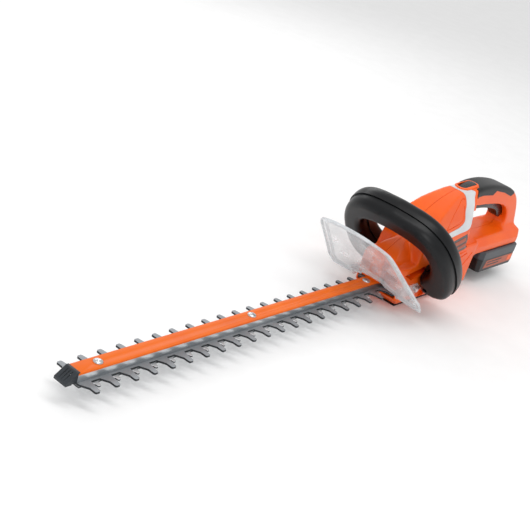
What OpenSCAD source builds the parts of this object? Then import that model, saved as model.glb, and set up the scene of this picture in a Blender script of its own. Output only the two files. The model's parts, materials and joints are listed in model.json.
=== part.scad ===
// Cordless hedge trimmer: double-acting blades, crank drive, bail handle,
// clear hand guard, rear D handle with trigger and lock-off, slide-in battery.
// Local axes of every module: X runs from the blade tip to the rear handle and
// is zero on the crank axis, Y is the operator's right, Z is up from the top
// face of the upper blade.

/* [Blades] */
// Distance from one long tooth to the next
tooth_pitch = 27; // [24:0.5:30]
// Long teeth on each side of the upper blade
tooth_count = 21; // [15:1:23]
// Reach of the long teeth from the centre line
long_reach = 29.4; // [27:0.2:33]
// Reach of the short cutting teeth from the centre line
short_reach = 19; // [17:0.5:22]
// Half width of a blade's solid spine
spine_half = 11.6; // [11:0.1:13]
// Thickness of each blade
blade_t = 2.4; // [1.8:0.1:3]
// Half width of the steel support bar
bar_half = 8.2; // [7.5:0.1:9]
// Height of the steel support bar
bar_h = 9.6; // [8:0.2:11]
// Thickness of the coloured strip on the bar
cover_t = 1.1; // [0.8:0.1:1.5]
// Length of the tip bumper in front of the first tooth
tip_len = 23; // [21:0.5:28]

/* [Drive] */
// Distance from the last tooth to the crank axis
shank_len = 60; // [56:1:64]
// Gear module
gear_mod = 1; // [0.95:0.01:1.04]
// Teeth on the crank gear
gear_teeth = 48; // [46:1:49]
// Teeth on the motor pinion
pinion_teeth = 12; // [12:1:13]
// Radius of the two eccentric discs
ecc_r = 10; // [9.5:0.1:11]
// Radius of the crank shaft
crank_r = 4; // [3.5:0.1:4.2]
// Radius of the motor can
motor_r = 20; // [18:0.5:21]
// Length of the motor can
motor_h = 54; // [46:1:56]

/* [Housing] */
// Half width of the main housing
body_half = 35; // [34:0.5:38]
// Half width of the rear handle
grip_half = 17; // [16:0.5:18]
// Half width of the foot above the battery
foot_half = 34; // [33:0.5:36]
// Wall of the plastic housings
wall = 2.6; // [2.2:0.1:3]
// Thickness of the flat skid under the gear case
skid_t = 2.4; // [2:0.1:3]

/* [Battery] */
// Length of the battery pack
pack_len = 116; // [108:1:120]
// Half width of the battery pack
pack_half = 37; // [36:0.5:39]
// Height of the battery case below the foot
pack_h = 33; // [30:0.5:36]

/* [Front handle and guard] */
// Outer half width of the bail handle
bail_half = 89; // [85:1:96]
// Half of the bail handle's thickness
bail_depth = 19; // [17:0.5:20]
// Forward lean of the bail handle from upright
bail_lean = 40; // [37:0.5:42]
// Forward lean of the guard from upright
guard_lean = 49; // [47:0.5:50]
// Thickness of the clear guard
guard_t = 3; // [2.4:0.1:4]

/* [Hidden] */
$fn = 48;

run_gap = 0.05;      // radial clearance of a shaft in its bush
slide_gap = 0.3;     // clearance between a part and the one it slides past
blade_gap = 0.15;    // gap between the faces that rub in the blade stack
seat_gap = 0.1;      // clearance of a part seated in a pocket of its own body

throw = tooth_pitch / 4;                 // crank throw: the blades pass one whole tooth pitch
yoke_play = throw * 0.211 + 0.35;        // the yoke follows the crank at a constant ratio
upper_top = 0;
upper_low = upper_top - blade_t;
lower_top = upper_low - blade_gap;
lower_low = lower_top - blade_t;
bar_low = blade_gap;
bar_top = bar_low + bar_h;
blade_x0 = -shank_len - (tooth_count - 1) * tooth_pitch;   // first tooth
tip_x = blade_x0 - tip_len;

centre_dist = gear_mod * (gear_teeth + pinion_teeth) / 2;
gear_low = upper_top + 1;
gear_face = 7;
gear_top = gear_low + gear_face;
motor_x = centre_dist;
plate_low = 14;
plate_t = 6;
motor_low = plate_low + plate_t;
case_floor = -13;
body_low = -22;
rest_h = skid_t - body_low;

foot_low = 29;
foot_top = 50;
rear_x = 300;
shift_x = -(tip_x + rear_x) / 2;

battery_gap = 0.5;
pack_x = 168;
pack_top = foot_low - battery_gap;
pack_low = pack_top - pack_h;
rail_half = 20;
rail_neck = 15.5;
rail_low = foot_low + 4;
rail_top = rail_low + 6;

trigger_pivot = [241, 83];
trigger_half = 8;

module placed() translate([shift_x, 0, rest_h]) children();

// ---- outlines ----------------------------------------------------------------

// A smooth run through points: a Catmull-Rom curve with the ends repeated
function at(p, i) = p[max(0, min(len(p) - 1, i))];
function blend_point(a, b, c, d, t) =
    0.5 * (2 * b + (c - a) * t + (2 * a - 5 * b + 4 * c - d) * t * t
    + (3 * b - a - 3 * c + d) * t * t * t);
function smooth_run(p, steps = 4) = [
    for (i = [0 : len(p) - 2], k = [0 : steps - 1])
        blend_point(at(p, i - 1), p[i], p[i + 1], at(p, i + 2), k / steps),
    p[len(p) - 1]];
function tail(p) = [for (i = [1 : len(p) - 1]) p[i]];
function reversed(p) = [for (i = [len(p) - 1 : -1 : 0]) p[i]];
function flipped(p) = [for (i = [len(p) - 1 : -1 : 0]) [-p[i].x, p[i].y]];

// A closed outline drawn clockwise or anticlockwise, moved inwards by d
function area2(p) =
    let (c = [for (i = [0 : len(p) - 1]) cross(p[i], at_loop(p, i + 1))])
    c * [for (x = c) 1];
function at_loop(p, i) = p[(i + len(p)) % len(p)];
function unit(v) = v / norm(v);
function inner_normal(a, b, turn) = turn * [-(b - a).y, (b - a).x] / norm(b - a);
function inset(p, d) = let (turn = sign(area2(p))) [
    for (i = [0 : len(p) - 1])
        let (n1 = inner_normal(at_loop(p, i - 1), p[i], turn),
            n2 = inner_normal(p[i], at_loop(p, i + 1), turn),
            m = unit(n1 + n2))
        p[i] + m * d / max(0.5, m * n1)];

// Side view of the main housing behind the nose
body_side = concat(
    [[-32, body_low], [-32, 50]],
    smooth_run([[-28, 62], [-14, 82], [8, 98], [34, 109], [66, 119], [100, 126.5]]), [[124, 129.5]],
    smooth_run([[106, 106], [110, 88], [120, 68], [136, 54], [151, 42]]),
    [[151, -2], [143, -13], [126, -20], [110, body_low]]);
// Front view of the main housing: upright below, drawn in towards the ridge
body_front = let (half = [[body_half - 9, body_low], [body_half, -12], [body_half, 52],
        [body_half - 3, 74], [body_half - 9, 94], [grip_half + 1, 112], [grip_half - 7, 126], [4, 132]])
    concat(half, flipped(half));
// Plan view of the main housing
body_plan = let (half = [[-34, body_half], [132, body_half], [151, body_half - 6]])
    concat(half, [for (p = reversed(half)) [p.x, -p.y]]);
// The nose over the gear case: a broad base with a rounded dome on it
nose_side = [[-20, body_low], [-40, body_low], [-58, -12], [-58, 12], [-72, 32], [-64, 38],
    [-8, 46], [-8, 10]];
dome_side = concat([[-20, 20], [-62, 20], [-76, 42]],
    smooth_run([[-72, 48], [-56, 58], [-40, 66]]), [[-20, 73]]);
nose_front = let (half = [[body_half - 9, body_low], [body_half, -12], [body_half, 50]])
    concat(half, flipped(half));
dome_front = let (half = [[26, 20], [26, 34], [22, 46], [15, 58], [6, 68], [2, 74]])
    concat(half, flipped(half));
nose_plan = let (half = [[-79, 18], [-74, 26], [-54, body_half], [0, body_half]])
    concat(half, [for (p = reversed(half)) [p.x, -p.y]]);

// Side view of the rear handle's outside and of its finger opening
handle_side = concat(
    smooth_run([[90, 124], [124, 130], [160, 130], [200, 124.5], [230, 116.5], [254, 104.5],
        [270, 87], [284, 62]]),
    [[rear_x, foot_low + 1], [150, foot_low + 1], [96, 60]]);
finger_side = concat(
    smooth_run([[98, 101], [130, 102], [168, 99.5], [206, 94.5], [231, 86], [244, 72],
        [246, 59], [239, 51]]),
    [[232, foot_top], [98, foot_top]]);
// Front view of the foot above the battery
foot_front = let (half = [[foot_half, foot_low], [foot_half, foot_low + 9], [24, 44],
        [grip_half, foot_top + 4]])
    concat(half, flipped(half));

module side_slab(p, half) rotate([90, 0, 0])
    linear_extrude(height = 2 * half, center = true) polygon(p);
module front_slab(p, x0, x1) translate([x0, 0, 0]) rotate([90, 0, 90])
    linear_extrude(height = x1 - x0) polygon(p);
module plan_slab(p, z0, z1) translate([0, 0, z0]) linear_extrude(height = z1 - z0) polygon(p);
module box(x0, x1, y0, y1, z0, z1) translate([x0, y0, z0]) cube([x1 - x0, y1 - y0, z1 - z0]);
module block(x0, x1, half, z0, z1) box(x0, x1, -half, half, z0, z1);
module rod_z(x, y, r, z0, z1) translate([x, y, z0]) cylinder(r = r, h = z1 - z0);
module rod_y(x, z, r, y0, y1) translate([x, y0, z]) rotate([-90, 0, 0]) cylinder(r = r, h = y1 - y0);
module rod_x(y, z, r, x0, x1) translate([x0, y, z]) rotate([0, 90, 0]) cylinder(r = r, h = x1 - x0);
// A plane that leans forward through point p: its sheet's X is Y, its Y runs up the slope
module leaning(p, angle) translate([p.x, 0, p.y]) rotate([0, -angle, 0]) rotate([90, 0, 90]) children();
// An open coil's stand-in: a thin-walled sleeve of the coil's own size
module coil(r, wire, h) difference() {
    cylinder(r = r, h = h);
    translate([0, 0, -1]) cylinder(r = r - wire, h = h + 2);
}

// ---- blades ------------------------------------------------------------------

screw_pitches = floor((tooth_count - 3) / 2);
screw_first = 0.9;   // first blade screw behind the first tooth, in tooth pitches
function screw_x(i) = blade_x0 + tooth_pitch * (screw_first + i * screw_pitches);
spacer_r = 4;
screw_r = 2.5;
slot_half_w = spacer_r + 0.25;
slot_half_l = spacer_r + throw + 0.5;
yoke_half_x = ecc_r + yoke_play;
yoke_half_y = ecc_r + throw + 0.5;
yoke_wall = 4.5;
tail_half = 10;
blade_nose = 7.6;    // blade in front of the first tooth's centre
tip_round = 1.2;
long_tip = 6.4;
short_tip = 4.5;

// One tooth on the +Y side, drawn from front to back, and the outline of a whole blade
function tooth(reach, tip_w, base_w, sweep) = let (neck = reach - (reach - spine_half) / 2) [
    [-base_w / 2, spine_half], [sweep - tip_w / 2, neck], [sweep - tip_w / 2, reach - tip_round],
    [sweep - tip_w / 2 + tip_round, reach], [sweep + tip_w / 2 - tip_round, reach],
    [sweep + tip_w / 2, reach - tip_round], [base_w / 2, spine_half]];
function mirrored(p) = [for (q = reversed(p)) [q.x, -q.y]];
function both_sides(p) = concat(p, mirrored(p));
function blade_outline(reach, tip_w, base_w, sweep, first_x, teeth) = both_sides(concat(
    [[blade_x0 - blade_nose, spine_half]],
    [for (i = [0 : teeth - 1], q = tooth(reach, tip_w, base_w, sweep)) q + [first_x + i * tooth_pitch, 0]],
    [[-shank_len + blade_nose, spine_half], [-shank_len + blade_nose, tail_half],
    [-yoke_half_x - yoke_wall, tail_half], [-yoke_half_x - yoke_wall, yoke_half_y + yoke_wall],
    [yoke_half_x + yoke_wall, yoke_half_y + yoke_wall]]));
module slot(x) {
    translate([x - slot_half_l + slot_half_w, 0]) circle(slot_half_w);
    translate([x + slot_half_l - slot_half_w, 0]) circle(slot_half_w);
    translate([x - slot_half_l + slot_half_w, -slot_half_w])
        square([2 * (slot_half_l - slot_half_w), 2 * slot_half_w]);
}
module blade(reach, tip_w, base_w, sweep, first_x, teeth) linear_extrude(height = blade_t) difference() {
    polygon(blade_outline(reach, tip_w, base_w, sweep, first_x, teeth));
    for (i = [0 : 2]) slot(screw_x(i));
    translate([-yoke_half_x, -yoke_half_y]) square([2 * yoke_half_x, 2 * yoke_half_y]);
}
module upper_blade() placed() color("#B9BCC0") translate([0, 0, upper_low])
    blade(long_reach, long_tip, 15, 1.5, blade_x0, tooth_count);
module lower_blade() placed() color("#D9DBDD") translate([0, 0, lower_low])
    blade(short_reach, short_tip, 9, 0.5, blade_x0 + tooth_pitch / 2, tooth_count - 1);

bar_x0 = tip_x + 14.6;
tongue_len = 6;
bar_x1 = -36;
module bar_tongue(gap) block(bar_x0 - tongue_len - gap, bar_x0 + 1, bar_half - 2.5 + gap,
    bar_low + 1 - gap, bar_top - 1.5 + gap);
module blade_bar() placed() color("#A9ADB1") difference() {
    union() {
        difference() {
            block(bar_x0, bar_x1, bar_half, bar_low, bar_top);
            block(bar_x0 + 4, bar_x1 - 24, bar_half - 2.2, bar_low - 1, bar_top - 2.2);
        }
        bar_tongue(0);
        for (i = [0 : 2]) rod_z(screw_x(i), 0, spacer_r + 1, bar_low, bar_top - 1);
    }
    for (i = [0 : 2]) rod_z(screw_x(i), 0, screw_r + seat_gap, -1, bar_top + 1);
    for (x = bar_bolts) rod_z(x, 0, 2 + seat_gap, -1, bar_top + 1);
}
bar_bolts = [bar_x1 - 6, bar_x1 - 13];
cover_x1 = -57;
module blade_cover() placed() color("#F2672A") difference() {
    union() {
        block(bar_x0, cover_x1, bar_half + 0.7, bar_top, bar_top + cover_t);
        for (s = [-1, 1]) box(bar_x0, cover_x1, s * (bar_half + 0.4) - 0.3, s * (bar_half + 0.4) + 0.3,
            bar_top - 1.2, bar_top + 0.1);
    }
    for (i = [0 : 2]) rod_z(screw_x(i), 0, screw_r + seat_gap, 0, bar_top + 2);
}
// Each screw runs down through the cover, bar and blade slots into its nut
nut_low = lower_low - 4.2;
washer_t = 1.2;
washer_low = lower_low - blade_gap - washer_t;
seat_top = bar_top + cover_t;
head_r = 5.2;
washer_r = 7.2;
nut_r = 4.9;
module blade_screws() placed() color("#D4D6D8") for (i = [0 : 2]) difference() {
    union() {
        rod_z(screw_x(i), 0, screw_r, nut_low - 1.2, seat_top + 0.1);
        rod_z(screw_x(i), 0, head_r, seat_top, seat_top + 1.1);
        translate([screw_x(i), 0, seat_top + 1.1]) cylinder(r1 = head_r, r2 = 3.4, h = 1.4);
    }
    translate([screw_x(i), 0, 0]) block(-head_r - 1, head_r + 1, 0.6, seat_top + 1.2, seat_top + 4);
}
module blade_spacers() placed() color("#8D9297") for (i = [0 : 2]) difference() {
    union() {
        rod_z(screw_x(i), 0, spacer_r, washer_low + washer_t, bar_low);
        rod_z(screw_x(i), 0, washer_r, washer_low, washer_low + washer_t);
    }
    rod_z(screw_x(i), 0, screw_r + seat_gap, washer_low - 1, bar_low + 1);
}
module blade_nuts() placed() color("#8D9297") for (i = [0 : 2]) difference() {
    rod_z(screw_x(i), 0, nut_r, nut_low, washer_low, $fn = 6);
    rod_z(screw_x(i), 0, screw_r + seat_gap, nut_low - 1, washer_low + 1);
}
// Rubber bumper over the front end of the bar
cap_side = let (x = tip_x) [[x + 1.5, -6.5], [x, -3], [x, 2.5], [x + 13, bar_top + 2.3],
    [x + 16, bar_top + 2.3], [x + 16, seat_top + 0.1], [x + 14.5, seat_top + 0.1],
    [x + 14.5, bar_low], [x + 8, bar_low], [x + 8, lower_low - 0.4], [x + 17, lower_low - 0.4],
    [x + 17, -6.9], [x + 8, -8.4]];
module tip_cap() placed() color("#26292C") difference() {
    side_slab(cap_side, bar_half + 0.6);
    bar_tongue(seat_gap);
    for (y = [-3.6, 0, 3.6]) translate([tip_x, y, 2.5]) rotate([0, -atan2(bar_top - 0.2, 13), 0])
        translate([1.5, -0.5, -0.8]) cube([12.5, 1, 3]);
}

// ---- gear case and crank -------------------------------------------------------

case_x0 = -32;
case_x1 = motor_x + 20;
case_half = 30;
case_wall = 3;
bush_r = 7;
bearing_r = 8;
bearing_t = 5;
case_bolts = [[case_x0 + 5, case_half - 5], [case_x0 + 5, -case_half + 5], [case_x1 - 5, case_half - 5],
    [case_x1 - 5, -case_half + 5]];
module gear_case_lower() placed() color("#8A8E92") difference() {
    union() {
        difference() {
            block(case_x0, case_x1, case_half, case_floor, plate_low);
            block(case_x0 + case_wall, case_x1 - case_wall, case_half - case_wall,
                case_floor + case_wall, plate_low + 1);
        }
        for (b = case_bolts) rod_z(b.x, b.y, 3.6, case_floor + 1, plate_low);
    }
    for (b = case_bolts) rod_z(b.x, b.y, 1.5 + seat_gap, case_floor + 5, plate_low + 1);
    // slot for the blades in the front wall
    block(case_x0 - 1, case_x0 + case_wall + 1, tail_half + 2, lower_low - 0.6, gear_low);
    rod_z(0, 0, bush_r, case_floor - 1, case_floor + 4);
    rod_z(motor_x, 0, bush_r - 2, case_floor - 1, case_floor + 4);
}
module gear_case_upper() placed() color("#9CA0A4") difference() {
    union() {
        block(case_x0, case_x1, case_half, plate_low, plate_low + plate_t);
        block(bar_x1 - 18, case_x0 + 2, bar_half, plate_low, plate_low + plate_t);
        block(bar_x1 - 18, case_x0 - seat_gap, bar_half, bar_top, plate_low + 1);
    }
    rod_z(0, 0, bearing_r, plate_low - 1, plate_low + bearing_t);
    rod_z(0, 0, crank_r + 1.5, plate_low, plate_low + 20);
    rod_z(motor_x, 0, bush_r + 0.5, plate_low - 1, plate_low + plate_t + 1);
    for (x = bar_bolts) rod_z(x, 0, 2 + seat_gap, 0, plate_low + 8);
    for (b = case_bolts) rod_z(b.x, b.y, 1.5 + seat_gap, case_floor, plate_low + 8);
}
module case_screws() placed() color("#C4C7CA") {
    for (b = case_bolts) {
        rod_z(b.x, b.y, 1.5, case_floor + 6, plate_low + plate_t);
        rod_z(b.x, b.y, 2.8, plate_low + plate_t, plate_low + plate_t + 2.2);
    }
    for (x = bar_bolts) {
        rod_z(x, 0, 2, bar_low + 0.6, plate_low + plate_t);
        rod_z(x, 0, 3.4, plate_low + plate_t, plate_low + plate_t + 2.4);
    }
}
// Involute gear: flanks from the base circle to the tip, with a straight root
function involute(base, t) = base * [cos(t) + t * PI / 180 * sin(t), sin(t) - t * PI / 180 * cos(t)];
function spun(p, a) = [p.x * cos(a) - p.y * sin(a), p.x * sin(a) + p.y * cos(a)];
function gear_outline(teeth, m, backlash, tip) = let (
    pitch_r = m * teeth / 2, base = pitch_r * cos(20), tip_r = pitch_r + tip * m, root_r = pitch_r - 1.2 * m,
    t_pitch = sqrt(pow(pitch_r / base, 2) - 1) * 180 / PI,
    t_tip = sqrt(pow(tip_r / base, 2) - 1) * 180 / PI,
    lead = atan2(involute(base, t_pitch).y, involute(base, t_pitch).x),
    half = 90 / teeth - backlash / pitch_r * 90 / PI)
    [for (i = [0 : teeth - 1]) let (a = i * 360 / teeth) each concat(
        [spun([root_r, 0], a - half - lead)],
        [for (k = [0 : 4]) spun(involute(base, t_tip * k / 4), a - half - lead)],
        [for (k = [4 : -1 : 0]) spun([involute(base, t_tip * k / 4).x, -involute(base, t_tip * k / 4).y],
            a + half + lead)],
        [spun([root_r, 0], a + half + lead)])];
backlash = 0.3;
ecc_split = upper_low - blade_gap / 2;
module crank_gear() placed() color("#77797C") difference() {
    union() {
        translate([0, 0, gear_low]) linear_extrude(height = gear_face)
            polygon(gear_outline(gear_teeth, gear_mod, backlash, 0.8));
        translate([0, throw, ecc_split]) cylinder(r = ecc_r, h = gear_low - ecc_split + 0.5);
        translate([0, -throw, lower_low]) cylinder(r = ecc_r, h = ecc_split - lower_low);
    }
    rod_z(0, 0, crank_r, -30, 30);
    for (a = [0, 180]) rotate(a) rod_z(15, 0, 4.5, gear_low - 1, gear_top + 1);
}
module crank_shaft() placed() color("#C4C7CA")
    rod_z(0, 0, crank_r, case_floor + 0.5, plate_low + bearing_t);
module crank_bearings() placed() color("#A9ADB1") {
    difference() {
        rod_z(0, 0, bearing_r, plate_low, plate_low + bearing_t);
        rod_z(0, 0, crank_r + run_gap, 0, 40);
    }
    difference() {
        rod_z(0, 0, bush_r, case_floor, case_floor + 4.5);
        rod_z(0, 0, crank_r + run_gap, -40, 40);
    }
}

// ---- motor -------------------------------------------------------------------

shaft_r = 2;
fan_low = motor_low + motor_h + 7;
fan_h = 8;
module pinion_gear() placed() color("#8D9297") difference() {
    translate([motor_x, 0, gear_low]) linear_extrude(height = gear_face + 1)
        rotate(180 + (gear_teeth % 2 == 0 ? 180 : 0) + (pinion_teeth % 2 == 0 ? 180 / pinion_teeth : 0))
        polygon(gear_outline(pinion_teeth, gear_mod, backlash, 0.9));
    rod_z(motor_x, 0, shaft_r, -30, 30);
}
module motor_shaft() placed() color("#C4C7CA")
    rod_z(motor_x, 0, shaft_r, case_floor + 0.5, fan_low + fan_h);
module motor_armature() placed() color("#8A6A4A") difference() {
    rod_z(motor_x, 0, motor_r - 6.6, motor_low + 7, motor_low + motor_h - 3);
    rod_z(motor_x, 0, shaft_r, motor_low, motor_low + motor_h);
}
bush_floors = [case_floor, motor_low + 1, motor_low + motor_h + 1.5];
module motor_bushes() placed() color("#B08D57") for (z = bush_floors)
    difference() {
        rod_z(motor_x, 0, bush_r - 2, z, z + 4);
        rod_z(motor_x, 0, shaft_r + run_gap, z - 1, z + 5);
    }
module motor_can() placed() color("#9B9FA3") difference() {
    rod_z(motor_x, 0, motor_r, motor_low, motor_low + motor_h);
    rod_z(motor_x, 0, motor_r - 6, motor_low + 5, motor_low + motor_h + 1);
    rod_z(motor_x, 0, bush_r - 2, motor_low + 1, motor_low + 6);
    rod_z(motor_x, 0, shaft_r + 1, motor_low - 1, motor_low + 6);
}
module motor_end_cap() placed() color("#2B2D30") difference() {
    union() {
        rod_z(motor_x, 0, motor_r, motor_low + motor_h, motor_low + motor_h + 3);
        rod_z(motor_x, 0, bush_r, motor_low + motor_h, motor_low + motor_h + 5.5);
    }
    rod_z(motor_x, 0, bush_r - 2, motor_low + motor_h + 1.5, motor_low + motor_h + 5.6);
    rod_z(motor_x, 0, shaft_r + 1, 0, 200);
}
module cooling_fan() placed() color("#3A3D40") translate([motor_x, 0, fan_low]) difference() {
    union() {
        cylinder(r = 5, h = fan_h - 1);
        cylinder(r = motor_r - 2, h = 1.2);
        for (a = [0 : 45 : 315]) rotate(a) translate([3, -0.6, 0]) cube([motor_r - 6, 1.2, fan_h - 1]);
    }
    translate([0, 0, -1]) cylinder(r = shaft_r, h = 20);
}

// ---- housing -----------------------------------------------------------------

screw_at = [[-50, 30], [-22, 60], [92, 60], [104, -8], [136, 14], [190, 112], [266, 70], [284, 48]];
module main_form(d) {
    intersection() {
        side_slab(inset(body_side, d), body_half - d);
        front_slab(inset(body_front, d), -90, 160);
        plan_slab(inset(body_plan, d), body_low - 1, 140);
    }
    nose_part(nose_side, nose_front, d);
    nose_part(dome_side, dome_front, d);
}
module nose_part(side, front, d) intersection() {
    side_slab(inset(side, d), body_half - d);
    front_slab(inset(front, d), -90, 10);
    plan_slab(inset(nose_plan, d), body_low - 1, 140);
}
module handle_form(d) difference() {
    union() {
        side_slab(inset(handle_side, d + 3.5), grip_half - d);
        side_slab(inset(handle_side, d + 1.2), grip_half - 1.5 - d);
        side_slab(inset(handle_side, d), grip_half - 4 - d);
    }
    side_slab(inset(finger_side, -d), 50);
}
module foot_form(d) intersection() {
    front_slab(inset(foot_front, d), 118, 330);
    side_slab(inset([[118, foot_low], [118, foot_top + 4], [286, foot_top + 4], [292, 40],
        [290, foot_low]], d), 60);
    plan_slab(inset([[118, foot_half], [278, foot_half], [291, foot_half - 8], [291, 8 - foot_half],
        [278, -foot_half], [118, -foot_half]], d), 0, 100);
}
module housing_shell() {
    difference() {
        union() {
            main_form(0);
            handle_form(0);
            difference() {
                foot_form(0);
                side_slab(finger_side, 50);
            }
        }
        main_form(wall);
        difference() {
            union() {
                handle_form(wall);
                foot_form(wall);
            }
            block(pack_x - 8, 330, 50, 0, rail_top + 2.4);
        }
        // mouth for the blades, bar and gear-case tongue
        block(-90, -40, long_reach + 1.6, lower_low - 1.6, upper_top + 2.4);
        block(-90, -40, bar_half + 1.3, lower_low - 1.6, bar_top + cover_t + 0.8);
        // way in for the battery's rail, and the room for its terminals
        block(pack_x - 3, 330, rail_neck + battery_gap, foot_low - 5, rail_top + battery_gap);
        block(pack_x - 3, 330, rail_half + battery_gap, rail_low - battery_gap, rail_top + battery_gap);
        block(118, pack_x - 1, rail_neck - 1, foot_low + 2, rail_top);
        block(pack_x1 - 2, 330, foot_half + 1, foot_low - 5, rail_top + battery_gap);
        trigger_slot();
        lock_slot();
        stripe_recess();
        badge_recess();
        for (s = screw_at) {
            rod_y(s.x, s.y, 1.5 + seat_gap, -screw_grip, 60);
            rod_y(s.x, s.y, screw_head + 0.4, half_at(s) - 5, 60);
        }
        for (m = concat(bail_mounts, [guard_bolt])) rod_y(m.x, m.y, 2 + seat_gap, -50, 50);
        skid_holes();
        for (z = [2 : 9 : 29], s = [-1, 1])
            box(66, 96, s * body_half - 6, s * body_half + 6, z, z + 3);
    }
    lock_shelf();
}
// A boss for each housing screw, from the wall to the parting plane
module bosses(side) for (s = screw_at) difference() {
    intersection() {
        rod_y(s.x, s.y, 3.8, side < 0 ? -60 : 0, side < 0 ? 0 : 60);
        union() {
            main_form(wall / 2);
            handle_form(wall / 2);
        }
    }
    rod_y(s.x, s.y, 1.5 + seat_gap, -screw_grip, 60);
    rod_y(s.x, s.y, screw_head + 0.4, half_at(s) - 5, 60);
}
screw_grip = 12;     // length of screw in the left half's boss
screw_head = 3;
shelf_top = 101;     // floor that the lock-off spring stands on
inlay_t = 1.2;
badge_t = 1;
module lock_shelf() intersection() {
    block(88, 106, 40, shelf_top - 2, shelf_top);
    main_form(wall / 2);
}
module half_space(side) box(-100, 340, side < 0 ? -60 : 0, side < 0 ? 0 : 60, -60, 200);
module housing_half(side) {
    intersection() {
        housing_shell();
        half_space(side);
    }
    bosses(side);
}
module left_housing() placed() color("#F2672A") housing_half(-1);
module right_housing() placed() color("#F2672A") housing_half(1);

stripe_side = concat(smooth_run([[18, 150], [57, 126], [69, 103], [74, 89], [64, 82], [39, 78]]),
    smooth_run([[44, 67], [80, 77], [88, 85], [79, 104], [69, 124], [58, 150]]));
module stripe_recess() difference() {
    side_slab(stripe_side, 60);
    main_form(inlay_t);
}
module stripe(side) color("#D3D6D8") intersection() {
    side_slab(inset(stripe_side, seat_gap), 60);
    difference() {
        main_form(0);
        main_form(inlay_t - seat_gap);
    }
    half_space(side);
}
module left_stripe() placed() stripe(-1);
module right_stripe() placed() stripe(1);
badge_side = [[40, 64], [71, 41.5], [103, 50], [83, 74.5]];
module badge_recess() difference() {
    side_slab(badge_side, 60);
    main_form(badge_t);
}
module badge(side) color("#1E1A1A") intersection() {
    side_slab(inset(badge_side, seat_gap), 60);
    difference() {
        main_form(0);
        main_form(badge_t - seat_gap);
    }
    half_space(side);
}
module left_badge() placed() badge(-1);
module right_badge() placed() badge(1);
// Half width of the housing where a screw's boss stands
function half_at(p) = p.x > 150 ? grip_half : body_half;
module housing_screws() placed() color("#B9BCC0") for (s = screw_at) {
    rod_y(s.x, s.y, 1.5, -screw_grip + 1, half_at(s) - 5);
    rod_y(s.x, s.y, screw_head, half_at(s) - 5, half_at(s) - 2.8);
}
module skid_holes() for (b = skid_bolts) rod_z(b.x, b.y, 1.5 + seat_gap, body_low - 5, body_low + 8);

skid_x0 = -38;
skid_x1 = 108;
skid_bolts = [[-24, 20], [-24, -20], [94, 20], [94, -20]];
module skid_plate() placed() color("#2B2D30") difference() {
    block(skid_x0, skid_x1, body_half - 9, body_low - skid_t, body_low);
    for (b = skid_bolts) rod_z(b.x, b.y, 3 + seat_gap, body_low - skid_t - 1, body_low - 1);
    for (b = skid_bolts) rod_z(b.x, b.y, 1.5 + seat_gap, body_low - skid_t - 1, body_low + 1);
}
module skid_screws() placed() color("#B9BCC0") for (b = skid_bolts) {
    rod_z(b.x, b.y, 3, body_low - skid_t + 0.4, body_low - 1);
    rod_z(b.x, b.y, 1.5, body_low - 1, body_low + 6);
}

// ---- controls ----------------------------------------------------------------

grip_side = concat(smooth_run([[112, 136], [200, 136], [262, 114], [282, 90]]),
    [[268, 88], [250, 98], [210, 112], [200, 106], [160, 109], [118, 107]]);
grip_t = 0.8;
module grip_overmould() placed() color("#26292C") difference() {
    intersection() {
        side_slab(grip_side, 60);
        handle_form(-grip_t);
    }
    handle_form(0);
    lock_slot();
}
lock_x0 = 82;
lock_x1 = 122;
lock_half = 7;
module oval(x0, x1, half, z0, z1) union() {
    rod_z(x0 + half, 0, half, z0, z1);
    rod_z(x1 - half, 0, half, z0, z1);
    block(x0 + half, x1 - half, half, z0, z1);
}
module lock_slot() oval(lock_x0 - slide_gap, lock_x1 + slide_gap, lock_half + slide_gap, 108, 150);
lock_low = 113;
lock_crown = [[70, 100], [70, 123.5], [88, 128], [104, 131], [124, 133], [130, 133], [130, 100]];
module lock_off_button() placed() color("#26292C") intersection() {
    oval(lock_x0, lock_x1, lock_half, lock_low, 140);
    side_slab(lock_crown, 30);
}
module lock_off_spring() placed() color("#B9BCC0") translate([98, 0, shelf_top])
    coil(4, 0.8, lock_low - shelf_top - 0.1);

trigger_low = smooth_run([[121, 92], [158, 91], [192, 86.5], [216, 80.5], [229, 70], [238, 66], [245, 72]]);
trigger_outline = concat(trigger_low, [[246, 86], [240, 90]],
    smooth_run([[228, 92], [194, 98], [158, 104], [121, 106]]));
pin_r = 2;
pin_half = grip_half - wall - 0.4;
module trigger() placed() color("#1E2022") difference() {
    side_slab(trigger_outline, trigger_half);
    rod_y(trigger_pivot.x, trigger_pivot.y, pin_r + run_gap, -20, 20);
}
module trigger_pin() placed() color("#C4C7CA")
    rod_y(trigger_pivot.x, trigger_pivot.y, pin_r, -pin_half, pin_half);
module trigger_slot() {
    rod_y(trigger_pivot.x, trigger_pivot.y, pin_r + seat_gap, -pin_half - seat_gap,
        pin_half + seat_gap);
    side_slab(inset(trigger_outline, -1.2), trigger_half + slide_gap);
    translate([trigger_pivot.x, 0, trigger_pivot.y]) rotate([0, 4, 0])
        translate([-trigger_pivot.x, 0, -trigger_pivot.y])
        side_slab(inset(trigger_outline, -1.2), trigger_half + slide_gap);
}
module trigger_spring() placed() color("#B9BCC0") translate([205, 0, 98.5]) coil(3, 0.7, 18);
module switch_body() placed() color("#1E2022") block(136, 172, 9, 114, 125);
module switch_plunger() placed() color("#B9BCC0") rod_z(150, 0, 2.5, 112, 114);
module power_wires() placed() color("#B03A2E") for (y = [-10, 10]) wire_run(y);
wire_points = [[46, 82], [60, 96], [80, 107], [116, 113], [134.5, 118]];
module wire_run(y) for (i = [0 : len(wire_points) - 2])
    let (a = wire_points[i], b = wire_points[i + 1]) {
        translate([a.x, y, a.y]) rotate([0, 90 - atan2(b.y - a.y, b.x - a.x), 0])
            cylinder(r = 1.3, h = norm(b - a));
        translate([b.x, y, b.y]) sphere(1.5);
    }
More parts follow.
